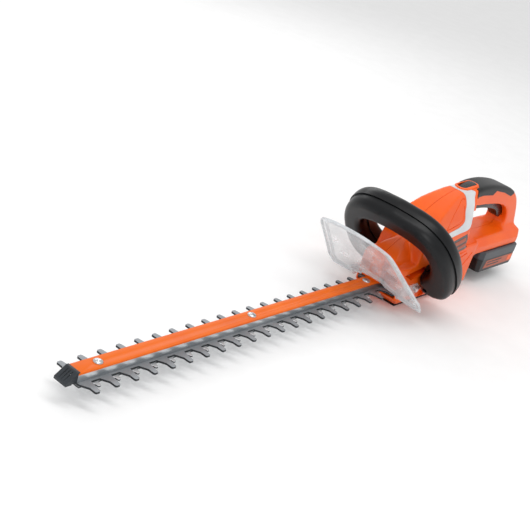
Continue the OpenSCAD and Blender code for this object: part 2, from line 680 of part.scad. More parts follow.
module terminal_block() placed() color("#1E2022") block(150, pack_x - 4, rail_neck - 1 - seat_gap,
    foot_low + 2 + seat_gap, rail_top - seat_gap);

// ---- bail handle and guard -----------------------------------------------------

bail_foot = [-4, 26];
bail_arch = let (b = bail_half, side = body_half + seat_gap,
    outer = smooth_run([[b - 28, -26], [b - 10, -15], [b - 1, 8], [b + 1, 40], [b - 3, 68],
        [b - 14, 93], [b - 32, 110], [b - 54, 118], [0, 121]]),
    inner = smooth_run([[0, 84], [24, 82], [b - 44, 74], [b - 35, 60], [b - 34, 40], [b - 38, 24],
        [body_half + 6, 10]]))
    concat([[side, -26]], outer, tail(flipped(outer)), [[-side, -26], [-side, 10]],
        flipped(inner), tail(inner), [[side, 10]]);
// Screws that hold the two shells together: place on the arch, and the side they go in from
bail_ties = [[48, -10, -1], [-48, -10, -1], [bail_half - 22, 88, 1], [22 - bail_half, 88, 1]];
tie_r = 1.5;
tie_head = 3.4;
tie_sink = 9;        // depth of a screw's well from the shell's face
module on_bail() leaning(bail_foot, bail_lean) children();
module tie(t, r, n0, n1) on_bail() translate([t.x, t.y, min(n0 * t[2], n1 * t[2])])
    cylinder(r = r, h = abs(n1 - n0));
module layer(n0, n1, d, side) on_bail() translate([0, 0, side < 0 ? -n1 : n0])
    linear_extrude(height = n1 - n0) polygon(inset(bail_arch, d));
module bail_half_shell(side) difference() {
    union() {
        difference() {
            union() {
                layer(0, 12, 0, side);
                layer(0, 16, 3, side);
                layer(0, bail_depth, 8, side);
            }
            layer(-1, bail_depth - wall - 3, wall + 1, side);
        }
        for (t = bail_ties) tie(t, tie_head + 2.2, 0, side * t[2] * (bail_depth - 1));
        for (m = bail_mounts, s = [0, 1]) if (m[2] == side) mirror([0, s, 0])
            rod_y(m.x, m.y, mount_boss, body_half + 2 * seat_gap, body_half + 12);
    }
    for (t = bail_ties) {
        tie(t, tie_r + seat_gap, -bail_depth - 1, bail_depth + 1);
        tie(t, tie_head + 0.4, bail_depth - tie_sink, 40);
    }
    for (m = bail_mounts) rod_y(m.x, m.y, 2 + seat_gap, -body_half - 11, body_half + 11);
}
module bail_front_shell() placed() color("#1B1E21") bail_half_shell(-1);
module bail_rear_shell() placed() color("#24272A") bail_half_shell(1);
module bail_screws() placed() color("#B9BCC0") for (t = bail_ties) {
    tie(t, tie_r, -bail_depth + tie_sink + 2, bail_depth - tie_sink + 0.1);
    tie(t, tie_head, bail_depth - tie_sink, bail_depth - tie_sink + 2.4);
}
// Screws from inside the housing into the feet of the bail: X, Z and the shell they hold
bail_mounts = [[-2, 3, -1], [14, 16, 1]];
mount_boss = 5;
module bail_mount_screws() placed() color("#B9BCC0") for (m = bail_mounts, s = [0, 1]) mirror([0, s, 0]) {
    rod_y(m.x, m.y, 2, body_half - wall, body_half + 10);
    rod_y(m.x, m.y, 3.2, body_half - wall - 1.6, body_half - wall);
}

guard_foot = [-65, 2.2];
guard_outline = let (half = concat(
        [[12, 18], [16, 17], [20, 8], [32, 3.5], [38, -6], [56, -8.5], [74, -9], [76.5, 14],
        [71, 43], [63, 90]],
        smooth_run([[60, 110], [55, 126], [44, 134], [22, 141], [0, 143]])))
    concat(half, tail(flipped(half)));
arm_t = 3;
arm_side = [[-61.5, -3], [-16, -3], [-11, 1], [-11, 9], [-16, 13], [-74, 13]];
guard_bolt = [-17, 5];
module guard() placed() color("#DDE3E8") difference() {
    union() {
        leaning(guard_foot, guard_lean) difference() {
            linear_extrude(height = guard_t) polygon(guard_outline);
            translate([0, 0, guard_t - 1]) linear_extrude(height = 3) polygon(inset(guard_outline, 7));
        }
        for (s = [0, 1]) mirror([0, s, 0]) translate([0, body_half + seat_gap + arm_t / 2, 0])
            side_slab(arm_side, arm_t / 2);
    }
    rod_y(guard_bolt.x, guard_bolt.y, 2 + seat_gap, -60, 60);
}
arm_out = body_half + arm_t + seat_gap;
module guard_screws() placed() color("#B9BCC0") for (s = [0, 1]) mirror([0, s, 0]) {
    rod_y(guard_bolt.x, guard_bolt.y, 2, body_half - wall - 1.5, arm_out);
    rod_y(guard_bolt.x, guard_bolt.y, 4, arm_out, arm_out + 2.2);
}

// ---- battery -------------------------------------------------------------------

pack_x1 = pack_x + pack_len;
case_t = 2;
split_z = pack_low + 20;
latch_half = 12;
latch_top = pack_top - 3;
latch_low = pack_top - 11;
pack_side = [[pack_x + 2, pack_low], [pack_x, pack_top], [pack_x1, pack_top], [pack_x1, pack_low + 13],
    [pack_x1 - 9, pack_low]];
pack_plan = let (half = [[pack_x - 1, pack_half - 6], [pack_x + 5, pack_half],
        [pack_x1 - 5, pack_half], [pack_x1 + 1, pack_half - 6]])
    concat(half, [for (p = reversed(half)) [p.x, -p.y]]);
module pack_form(d) intersection() {
    side_slab(inset(pack_side, d), pack_half - d);
    plan_slab(inset(pack_plan, d), pack_low - 1, pack_top + 1);
}
module pack_shell() difference() {
    pack_form(0);
    pack_form(case_t);
}
module battery_lower_case() placed() color("#0E0F11") difference() {
    pack_shell();
    block(0, 400, 60, split_z, 100);
}
module battery_upper_case() placed() color("#3B3F45") {
    difference() {
        pack_shell();
        block(0, 400, 60, -100, split_z);
        block(pack_x1 - 8, 400, latch_half + slide_gap, latch_low - slide_gap, latch_top + slide_gap);
    }
    block(pack_x + 4, pack_x1 - 16, rail_neck, pack_top - 0.2, rail_low + 0.2);
    difference() {
        block(pack_x + 4, pack_x1 - 16, rail_half, rail_low, rail_top);
        contact_slots(0.3);
    }
    // stop behind the foot, over the latch
    block(pack_x1 - 6, pack_x1 - 1, latch_half, pack_top - 0.2, rail_top - 2);
}
module battery_labels() placed() color("#B5532C") for (s = [0, 1]) mirror([0, s, 0])
    box(pack_x + 12, pack_x1 - 12, pack_half, pack_half + 0.4, pack_low + 5, pack_low + 18);
cell_r = 9;
cell_pitch = 21;
module battery_cells() placed() color("#5A7A8C") for (i = [0 : 4])
    rod_y(pack_x + 14 + i * cell_pitch, pack_low + 12, cell_r, case_t - pack_half + 2, pack_half - case_t - 2);
contact_rows = [-9, 0, 9];
contact_half = 0.6;
module contact_slots(gap) for (y = contact_rows)
    box(pack_x + 3, pack_x + 12, y - contact_half - gap, y + contact_half + gap, rail_low + 1,
        rail_top + 1);
module battery_contacts() placed() color("#B08D57") for (y = contact_rows)
    box(pack_x + 4.5, pack_x + 11.9, y - contact_half, y + contact_half, rail_low + 1, rail_top - 1.5);
module battery_latch() placed() color("#2B2D30") {
    block(pack_x1 - case_t - 1, pack_x1 + 2.5, latch_half, latch_low, latch_top);
    block(pack_x1 - case_t - 3, pack_x1 - case_t - 0.9, latch_half + 2, latch_low, latch_top);
}
module latch_spring() placed() color("#B9BCC0") for (y = [-7, 7])
    translate([pack_x1 - 15, y, (latch_low + latch_top) / 2]) rotate([0, 90, 0])
        coil(2.6, 0.7, 15 - case_t - 3.1);

upper_blade();
lower_blade();
blade_bar();
blade_cover();
blade_screws();
blade_spacers();
blade_nuts();
tip_cap();
gear_case_lower();
gear_case_upper();
case_screws();
crank_gear();
crank_shaft();
crank_bearings();
pinion_gear();
motor_shaft();
motor_armature();
motor_bushes();
motor_can();
motor_end_cap();
cooling_fan();
left_housing();
right_housing();
housing_screws();
left_stripe();
right_stripe();
left_badge();
right_badge();
skid_plate();
skid_screws();
grip_overmould();
lock_off_button();
lock_off_spring();
trigger();
trigger_pin();
trigger_spring();
switch_body();
switch_plunger();
power_wires();
terminal_block();
bail_front_shell();
bail_rear_shell();
bail_screws();
bail_mount_screws();
guard();
guard_screws();
battery_lower_case();
battery_upper_case();
battery_labels();
battery_cells();
battery_contacts();
battery_latch();
latch_spring();
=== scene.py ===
"""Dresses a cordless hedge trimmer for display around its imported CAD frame.

Sizes are in millimetres in the tool's own axes: X runs from the blade tip to the
rear handle and is zero on the crank axis, Y is the operator's right, and Z is up
from the top face of the upper blade. PLACE turns them into metres in the frame.
"""

import json
import logging
import math
from collections.abc import Sequence
from dataclasses import dataclass, field
from enum import Enum

import bmesh
import bpy
from bmesh.types import BMesh
from bpy.types import Material, Node, NodeSocket, NodeTree, Object
from mathutils import Matrix, Vector


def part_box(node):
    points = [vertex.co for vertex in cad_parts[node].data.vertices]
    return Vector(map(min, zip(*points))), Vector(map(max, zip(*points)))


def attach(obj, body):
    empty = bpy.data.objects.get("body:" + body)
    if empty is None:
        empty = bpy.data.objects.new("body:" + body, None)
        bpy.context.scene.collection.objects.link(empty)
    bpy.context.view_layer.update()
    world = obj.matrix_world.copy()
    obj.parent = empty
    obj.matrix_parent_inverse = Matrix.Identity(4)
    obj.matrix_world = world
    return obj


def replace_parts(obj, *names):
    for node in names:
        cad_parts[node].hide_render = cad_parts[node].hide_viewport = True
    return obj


logging.basicConfig(level=logging.INFO, format="%(message)s")
log = logging.getLogger("hedge_trimmer")

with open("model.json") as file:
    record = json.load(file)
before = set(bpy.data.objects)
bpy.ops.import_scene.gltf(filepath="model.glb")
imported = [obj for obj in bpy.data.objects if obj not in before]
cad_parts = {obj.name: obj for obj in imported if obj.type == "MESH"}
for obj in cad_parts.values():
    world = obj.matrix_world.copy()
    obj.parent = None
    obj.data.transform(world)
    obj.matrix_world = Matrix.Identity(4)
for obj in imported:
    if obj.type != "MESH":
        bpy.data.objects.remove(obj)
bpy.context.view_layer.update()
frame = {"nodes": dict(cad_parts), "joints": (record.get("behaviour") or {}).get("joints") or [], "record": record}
MM = 0.001
SAME = 1e-4  # points closer than this, in millimetres, are one point
FLAT = 1e-5  # an edge this near a height lies at it
CAD_SAME = 2e-6  # points of a CAD mesh closer than this, in metres, are one point
CAD_FLAT = math.radians(0.5)  # CAD faces that turn less than this are one face
CAD_SHARP = math.radians(28)  # CAD edges that turn more than this get broken
WIDE = 60.0  # half the width of a form that passes right through the tool
SIDES = ((-1, "left"), (1, "right"))  # the sign of Y and the word for each side
CRANK = Vector(next(j for j in frame["joints"] if j["name"] == "crank_turn")["pos_m"])
PLACE = Matrix.Translation(CRANK) @ Matrix.Scale(MM, 4)

Outline = list[tuple[float, float]]


class Lay(Enum):
    """How an outline drawn in u and v, and thickened along w, lies on the tool."""

    SIDE = ((1, 0, 0), (0, 0, -1), (0, 1, 0))
    FRONT = ((0, 0, 1), (1, 0, 0), (0, 1, 0))
    PLAN = ((1, 0, 0), (0, 1, 0), (0, 0, 1))

    def matrix(self) -> Matrix:
        """The turn from (u, v, w) to the tool's axes."""
        return Matrix(self.value).to_4x4()


class Join(Enum):
    """What is done with a second solid."""

    ADD = "UNION"
    CUT = "DIFFERENCE"
    KEEP = "INTERSECT"


# ---- outlines ------------------------------------------------------------------


def smooth_run(points: Outline, steps: int = 6) -> Outline:
    """Points along a smooth curve through the given ones.

    Args:
        points: The points that the curve runs through.
        steps: The number of pieces between two given points.

    Returns:
        The curve's points, from the first given one to the last.
    """
    run = [Vector(p) for p in points]
    out: Outline = []
    for i in range(len(run) - 1):
        a, b = run[max(i - 1, 0)], run[i]
        c, d = run[i + 1], run[min(i + 2, len(run) - 1)]
        for k in range(steps):
            t = k / steps
            p = 0.5 * (
                2 * b
                + (c - a) * t
                + (2 * a - 5 * b + 4 * c - d) * t * t
                + (3 * b - a - 3 * c + d) * t**3
            )
            out.append((p.x, p.y))
    return out + [points[-1]]


def both_sides(half: Outline) -> Outline:
    """A half outline in u >= 0 joined to its mirror image."""
    return half + [(-u, v) for u, v in reversed(half) if u > 0]


def ribbon(path: Outline, width: float) -> Outline:
    """The outline of a line of even width.

    Args:
        path: The line's own points.
        width: The line's width.

    Returns:
        A closed outline round the line.
    """
    run = [Vector(p) for p in path]
    left: Outline = []
    right: Outline = []
    for i, p in enumerate(run):
        along = (run[min(i + 1, len(run) - 1)] - run[max(i - 1, 0)]).normalized()
        side = Vector((-along.y, along.x)) * width / 2
        left.append((p.x + side.x, p.y + side.y))
        right.append((p.x - side.x, p.y - side.y))
    return left + right[::-1]


def oval(x0: float, x1: float, half: float, steps: int = 12) -> Outline:
    """A plan outline with straight sides and round ends.

    Args:
        x0: The front end.
        x1: The rear end.
        half: Half the width.
        steps: The number of pieces in each round end.

    Returns:
        The closed outline.
    """
    turns = [math.pi * (0.5 + k / steps) for k in range(steps + 1)]
    front = [(x0 + half + half * math.cos(t), half * math.sin(t)) for t in turns]
    return front + [(x0 + x1 - u, -v) for u, v in front]


def inward(outline: Outline, by: float) -> Outline:
    """An outline drawn in evenly.

    Args:
        outline: The closed outline.
        by: How far it draws in.

    Returns:
        The smaller outline.
    """
    bm, face = drawn(outline, 0)
    bmesh.ops.inset_region(
        bm, faces=[face], thickness=by, use_boundary=True, use_even_offset=True
    )
    loop = [(v.co.x, v.co.y) for v in face.verts]
    bm.free()
    return loop


# ---- solids ----------------------------------------------------------------------


def drawn(outline: Outline, w: float) -> tuple[BMesh, bmesh.types.BMFace]:
    """A new mesh of one flat face with the given outline, at height w."""
    bm = bmesh.new()
    face = bm.faces.new([bm.verts.new((u, v, w)) for u, v in outline])
    face.normal_update()
    if face.normal.z < 0:
        face.normal_flip()
    return bm, face


def flat_edges(bm: BMesh, heights: Sequence[float]) -> list[bmesh.types.BMEdge]:
    """The edges that lie flat at one of the given heights."""
    return [
        e
        for e in bm.edges
        for w in heights
        if all(abs(v.co.z - w) < FLAT for v in e.verts)
    ]


def break_edges(bm: BMesh, edges: list[bmesh.types.BMEdge], by: float, faces: int) -> None:
    """Rounds some of a mesh's edges.

    Args:
        bm: The mesh.
        edges: The edges to round.
        by: The size of the rounding.
        faces: The number of faces across it.
    """
    bmesh.ops.bevel(
        bm,
        geom=edges,
        offset=by,
        segments=faces,
        profile=0.5,
        affect="EDGES",
        clamp_overlap=True,
        material=-1,
    )


def slab(outline: Outline, lo: float, hi: float, lay: Lay, rim: float = 0.0) -> BMesh:
    """An outline thickened into a plate, with rounded rims if wanted.

    Args:
        outline: The closed outline.
        lo: Where the plate starts.
        hi: Where it ends.
        lay: How it lies on the tool.
        rim: The size of the rounding of both rims.

    Returns:
        The plate's mesh, in the tool's millimetres.
    """
    bm, face = drawn(outline, lo)
    made = bmesh.ops.extrude_face_region(bm, geom=[face])["geom"]
    moved = [g for g in made if isinstance(g, bmesh.types.BMVert)]
    bmesh.ops.translate(bm, verts=moved, vec=(0, 0, hi - lo))
    if rim:
        break_edges(bm, flat_edges(bm, (lo, hi)), rim, 4)
    bmesh.ops.transform(bm, matrix=lay.matrix(), verts=bm.verts)
    return bm


def pillow(outline: Outline, rises: Sequence[tuple[float, float]], lay: Lay) -> BMesh:
    """A plate that is alike on both sides of its middle and steps in towards its faces.

    Args:
        outline: The outline at the middle.
        rises: For each step, the height that it rises and how far it draws in.
        lay: How the plate lies on the tool.

    Returns:
        The closed mesh, in the tool's millimetres.
    """
    bm, face = drawn(outline, 0)
    for rise, inwards in rises:
        bmesh.ops.inset_region(
            bm,
            faces=[face],
            thickness=max(inwards, SAME),
            depth=rise,
            use_boundary=True,
            use_even_offset=True,
        )
    bmesh.ops.mirror(bm, geom=bm.faces[:], merge_dist=SAME, axis="Z")
    bmesh.ops.transform(bm, matrix=lay.matrix(), verts=bm.verts)
    return bm


def turned(profile: Outline, at: Matrix, steps: int = 32) -> BMesh:
    """A round solid made by turning a profile about the w axis.

    Args:
        profile: (radius, height) points, from the axis back to the axis.
        at: Where the axis lies.
        steps: The number of steps round.

    Returns:
        The closed mesh, in the tool's millimetres.
    """
    bm = bmesh.new()
    verts = [bm.verts.new((r, 0, h)) for r, h in profile]
    edges = [bm.edges.new(pair) for pair in zip(verts, verts[1:])]
    bmesh.ops.spin(
        bm,
        geom=verts + edges,
        cent=(0, 0, 0),
        axis=(0, 0, 1),
        angle=math.tau,
        steps=steps,
        use_merge=True,
    )
    bmesh.ops.remove_doubles(bm, verts=bm.verts, dist=SAME)
    bmesh.ops.recalc_face_normals(bm, faces=bm.faces)
    bmesh.ops.transform(bm, matrix=at, verts=bm.verts)
    return bm


def brick(lo: Sequence[float], hi: Sequence[float], rim: float = 0.0) -> BMesh:
    """A block between two corners, with rounded edges if wanted.

    Args:
        lo: The corner with the lower values.
        hi: The opposite corner.
        rim: The size of the rounding of its edges.

    Returns:
        The closed mesh, in the tool's millimetres.
    """
    bm = bmesh.new()
    bmesh.ops.create_cube(bm, size=1)
    size = [b - a for a, b in zip(lo, hi)]
    bmesh.ops.scale(bm, vec=size, verts=bm.verts)
    middle = [(a + b) / 2 for a, b in zip(lo, hi)]
    bmesh.ops.translate(bm, vec=middle, verts=bm.verts)
    if rim:
        break_edges(bm, bm.edges[:], rim, 3)
    return bm


def piece(bm: BMesh, name: str) -> Object:
    """Turns a mesh in the tool's millimetres into an object placed in the frame."""
    bmesh.ops.transform(bm, matrix=PLACE, verts=bm.verts)
    bmesh.ops.recalc_face_normals(bm, faces=bm.faces)
    mesh = bpy.data.meshes.new(name)
    bm.to_mesh(mesh)
    bm.free()
    made = bpy.data.objects.new(name, mesh)
    bpy.context.scene.collection.objects.link(made)
    return made


def placed(bm: BMesh, at: Matrix, name: str) -> Object:
    """Moves a mesh to its place on the tool and makes it an object."""
    bmesh.ops.transform(bm, matrix=at, verts=bm.verts)
    return piece(bm, name)


def through(outline: Outline, name: str) -> Object:
    """A side outline thickened right through the tool."""
    return piece(slab(outline, -WIDE, WIDE, Lay.SIDE), name)


def settle(made: Object) -> Object:
    """Applies a piece's modifiers to its mesh."""
    graph = bpy.context.evaluated_depsgraph_get()
    mesh = bpy.data.meshes.new_from_object(made.evaluated_get(graph))
    old = made.data
    made.modifiers.clear()
    made.data = mesh
    bpy.data.meshes.remove(old)
    return made


def twin(made: Object, name: str) -> Object:
    """A copy of an object with a mesh of its own."""
    other = bpy.data.objects.new(name, made.data.copy())
    bpy.context.scene.collection.objects.link(other)
    return other


def drop(*unwanted: Object) -> None:
    """Removes helper objects and their meshes."""
    for o in unwanted:
        mesh = o.data
        bpy.data.objects.remove(o)
        bpy.data.meshes.remove(mesh)


def combine(base: Object, how: Join, *others: Object, keep: bool = False) -> Object:
    """Joins solids to a base one, or cuts them away from it.

    Args:
        base: The object that changes.
        how: What is done with the others.
        others: Closed solids.
        keep: Whether the others stay for later use.

    Returns:
        The base object.
    """
    for other in others:
        step = base.modifiers.new("combine", "BOOLEAN")
        step.operation = how.value
        step.solver = "MANIFOLD"
        step.object = other
        settle(base)
        if not keep:
            drop(other)
    return base


def soften(made: Object, grid: float, passes: int) -> Object:
    """Gives a solid one even skin and rounds its edges, as a mould's draft and fillets do.

    Args:
        made: The closed solid.
        grid: The size of the new skin's faces in millimetres.
        passes: How often neighbouring points are drawn together.

    Returns:
        The same object.
    """
    skin = made.modifiers.new("skin", "REMESH")
    skin.mode = "VOXEL"
    skin.voxel_size = grid * MM
    ease = made.modifiers.new("ease", "SMOOTH")
    ease.factor = 0.5
    ease.iterations = passes
    return settle(made)


def swell(made: Object, by: float) -> Object:
    """Moves a skin outwards along its normals, or inwards if by is negative (mm)."""
    mesh = made.data
    moved = [v.co + v.normal * by * MM for v in mesh.vertices]
    for vert, place in zip(mesh.vertices, moved):
        vert.co = place
    mesh.update()
    return made


@dataclass
class Skin:
    """A softened form whose outside can be lifted off in thin pieces.

    depth is how thick the pieces are, and start how far from the tool's middle plane
    they may begin.
    """

    form: Object
    depth: float
    start: float

    def __post_init__(self) -> None:
        """Makes the smaller copy that the pieces end at."""
        self.core = swell(twin(self.form, "core"), -self.depth)

    def patch(self, outline: Outline, side: int, proud: float, name: str) -> Object:
        """A thin piece of the outside within a side outline, on one side of the tool.

        Args:
            outline: The piece's side outline.
            side: -1 for the operator's left side, 1 for the right.
            proud: How far the piece stands out of the outside.
            name: The piece's name.

        Returns:
            The new piece.
        """
        span = sorted((side * self.start, side * WIDE))
        made = piece(slab(outline, -span[1], -span[0], Lay.SIDE), name)
        combine(made, Join.KEEP, swell(twin(self.form, "skin"), proud))
        return combine(made, Join.CUT, self.core, keep=True)


def shade(made: Object, crease: float = 32.0) -> Object:
    """Shades a piece smooth except at edges sharper than crease, in degrees."""
    for face in made.data.polygons:
        face.use_smooth = True
    made.data.set_sharp_from_angle(angle=math.radians(crease))
    return made


def refined(node: str, name: str, edge: float, segments: int = 2) -> Object:
    """A copy of a CAD node with its edges broken, as tumbling or moulding leaves them.

    Args:
        node: The CAD node.
        name: The new piece's name.
        edge: The size of the broken edge in millimetres.
        segments: The number of faces across the broken edge.

    Returns:
        The new piece, which replaces the node.
    """
    bm = bmesh.new()
    bm.from_mesh(frame["nodes"][node].data)
    bmesh.ops.remove_doubles(bm, verts=bm.verts, dist=CAD_SAME)
    bmesh.ops.dissolve_limit(bm, angle_limit=CAD_FLAT, verts=bm.verts, edges=bm.edges)
    sharp = [
        e
        for e in bm.edges
        if len(e.link_faces) == 2 and e.calc_face_angle(0) > CAD_SHARP
    ]
    break_edges(bm, sharp, edge * MM, segments)
    mesh = bpy.data.meshes.new(name)
    bm.to_mesh(mesh)
    bm.free()
    made = bpy.data.objects.new(name, mesh)
    bpy.context.scene.collection.objects.link(made)
    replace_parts(made, node)
    return shade(made)


def leaning(foot: tuple[float, float], lean: float) -> Matrix:
    """The place of a part built on a plane that leans forward.

    Args:
        foot: X and Z of the point that the plane passes through.
        lean: The forward lean from upright in degrees.

    Returns:
        The matrix for a part whose FRONT lay is upright at the origin.
    """
    shift = Matrix.Translation((foot[0], 0, foot[1]))
    return shift @ Matrix.Rotation(-math.radians(lean), 4, "Y")


# ---- finishes ----------------------------------------------------------------------


def linear(code: str) -> tuple[float, float, float, float]:
    """An sRGB hex value as a linear colour."""

    def channel(c: float) -> float:
        """One sRGB channel made linear."""
        return c / 12.92 if c <= 0.04045 else ((c + 0.055) / 1.055) ** 2.4

    return tuple(channel(int(code[i : i + 2], 16) / 255) for i in (1, 3, 5)) + (1.0,)


def add(tree: NodeTree, kind: str, settings: dict, links: dict | None = None) -> Node:
    """Adds a shader node.

    Args:
        tree: The material's node tree.
        kind: The node's type name.
        settings: Values of its inputs by name, or of its own properties.
        links: The output that feeds each input, by the input's name.

    Returns:
        The new node.
    """
    made = tree.nodes.new(kind)
    for key, value in settings.items():
        if key in made.inputs:
            made.inputs[key].default_value = value
        else:
            setattr(made, key, value)
    for key, source in (links or {}).items():
        tree.links.new(source, made.inputs[key])
    return made


def noise(
    tree: NodeTree, where: NodeSocket, size: float, detail: float, rough: float = 0.5
) -> NodeSocket:
    """A noise pattern.

    Args:
        tree: The material's node tree.
        where: The coordinates that it follows.
        size: How wide its features are, in the coordinates' units.
        detail: The number of finer layers.
        rough: How strong the finer layers are.

    Returns:
        The pattern's value.
    """
    settings = {"Scale": 1 / size, "Detail": detail, "Roughness": rough}
    return add(tree, "ShaderNodeTexNoise", settings, {"Vector": where}).outputs[0]


def spread(tree: NodeTree, source: NodeSocket, low: float, high: float) -> NodeSocket:
    """A pattern's value spread between two limits."""
    limits = {"To Min": low, "To Max": high}
    return add(tree, "ShaderNodeMapRange", limits, {"Value": source}).outputs[0]


def relief(tree: NodeTree, source: NodeSocket, strength: float, depth: float) -> NodeSocket:
    """The bumps of a pattern, depth millimetres high."""
    settings = {"Strength": strength, "Distance": depth * MM}
    return add(tree, "ShaderNodeBump", settings, {"Height": source}).outputs[0]


def feed(tree: NodeTree, shader: Node, sources: dict[str, NodeSocket]) -> None:
    """Links each output to the shader's input of that name."""
    for key, source in sources.items():
        tree.links.new(source, shader.inputs[key])


def ramp(tree: NodeTree, source: NodeSocket, low: str, high: str) -> NodeSocket:
    """A blend between two colours that follows a pattern.

    Args:
        tree: The material's node tree.
        source: The pattern's output.
        low: The colour where the pattern is low.
        high: The colour where it is high.

    Returns:
        The blend's colour.
    """
    made = add(tree, "ShaderNodeValToRGB", {}, {"Fac": source})
    stops = made.color_ramp.elements
    stops[0].position, stops[1].position = 0.3, 0.7
    stops[0].color, stops[1].color = linear(low), linear(high)
    return made.outputs[0]


def start(name: str) -> tuple[Material, NodeTree, Node, Node]:
    """A new material with its tree, its main shader and its Object coordinates."""
    made = bpy.data.materials.new(name)
    made.use_nodes = True
    tree = made.node_tree
    tree.nodes.clear()
    shader = add(tree, "ShaderNodeBsdfPrincipled", {})
    add(tree, "ShaderNodeOutputMaterial", {}, {"Surface": shader.outputs[0]})
    return made, tree, shader, add(tree, "ShaderNodeTexCoord", {})


@dataclass(frozen=True)
class Moulded:
    """Injection-moulded plastic or rubber.

    The resin flows unevenly, so its tone drifts over a few centimetres, and the
    mould's spark-eroded skin gives a fine grain that breaks up the highlight. The
    real grain is about a tenth of a millimetre, too fine to show, so it is drawn
    coarser.
    """

    name: str
    deep: str
    light: str
    gloss: float
    grain: float = 0.9
    relief: float = 0.02
    drift: float = 45.0
    coat: float = 0.0
    ior: float = 1.5

    def build(self) -> Material:
        """Makes the material."""
        made, tree, shader, place = start(self.name)
        where = place.outputs["Object"]
        cloud = noise(tree, where, self.drift * MM, 3.0, 0.55)
        skin = noise(tree, where, self.grain * MM, 2.0, 0.6)
        sources = {
            "Base Color": ramp(tree, cloud, self.deep, self.light),
            "Roughness": spread(tree, skin, self.gloss - 0.05, self.gloss + 0.07),
            "Normal": relief(tree, skin, 0.35, self.relief),
        }
        feed(tree, shader, sources)
        shader.inputs["IOR"].default_value = self.ior
        shader.inputs["Coat Weight"].default_value = self.coat
        shader.inputs["Coat Roughness"].default_value = 0.15
        return made


@dataclass(frozen=True)
class Metal:
    """Worked metal with the fine lines that grinding, turning or casting leaves.

    The real lines are finer than a tenth of a millimetre, too fine to show, so they
    are drawn coarser.
    """

    name: str
    deep: str
    light: str
    gloss: float
    grain: tuple[float, float, float] = (30.0, 0.7, 0.7)
    relief: float = 0.01
    metallic: float = 1.0

    def build(self) -> Material:
        """Makes the material."""
        made, tree, shader, place = start(self.name)
        where = place.outputs["Object"]
        scale = {"Scale": tuple(1 / (g * MM) for g in self.grain)}
        stretch = add(tree, "ShaderNodeMapping", scale, {"Vector": where})
        lines = noise(tree, stretch.outputs[0], 1.0, 4.0, 0.6)
        stain = noise(tree, where, 60 * MM, 2.0)
        sources = {
            "Base Color": ramp(tree, stain, self.deep, self.light),
            "Roughness": spread(tree, lines, self.gloss - 0.08, self.gloss + 0.1),
            "Normal": relief(tree, lines, 0.4, self.relief),
        }
        feed(tree, shader, sources)
        shader.inputs["Metallic"].default_value = self.metallic
        return made


@dataclass(frozen=True)
class ClearSheet:
    """Clear moulded polycarbonate: it hazes what is behind it, and its opacity rises edge-on as a painted
    reflection that whitens it.
    """

    name: str
    tint: str
    clear: float
    edge_on_painted_reflection: float

    def build(self) -> Material:
        """Makes the material."""
        made, tree, shader, place = start(self.name)
        haze = noise(tree, place.outputs["Object"], 18 * MM, 3.0)
        # Opacity that rises towards grazing angles: painted reflection.
        facing = add(tree, "ShaderNodeLayerWeight", {"Blend": 0.35}).outputs["Facing"]
        sources = {
            "Base Color": ramp(tree, haze, self.tint, "#F4F7F9"),
            "Alpha": spread(tree, facing, self.clear, self.edge_on_painted_reflection),
        }
        feed(tree, shader, sources)
        shader.inputs["Roughness"].default_value = 0.12
        shader.inputs["IOR"].default_value = 1.58
        shader.inputs["Coat Weight"].default_value = 0.6
        shader.inputs["Coat Roughness"].default_value = 0.05
        return made


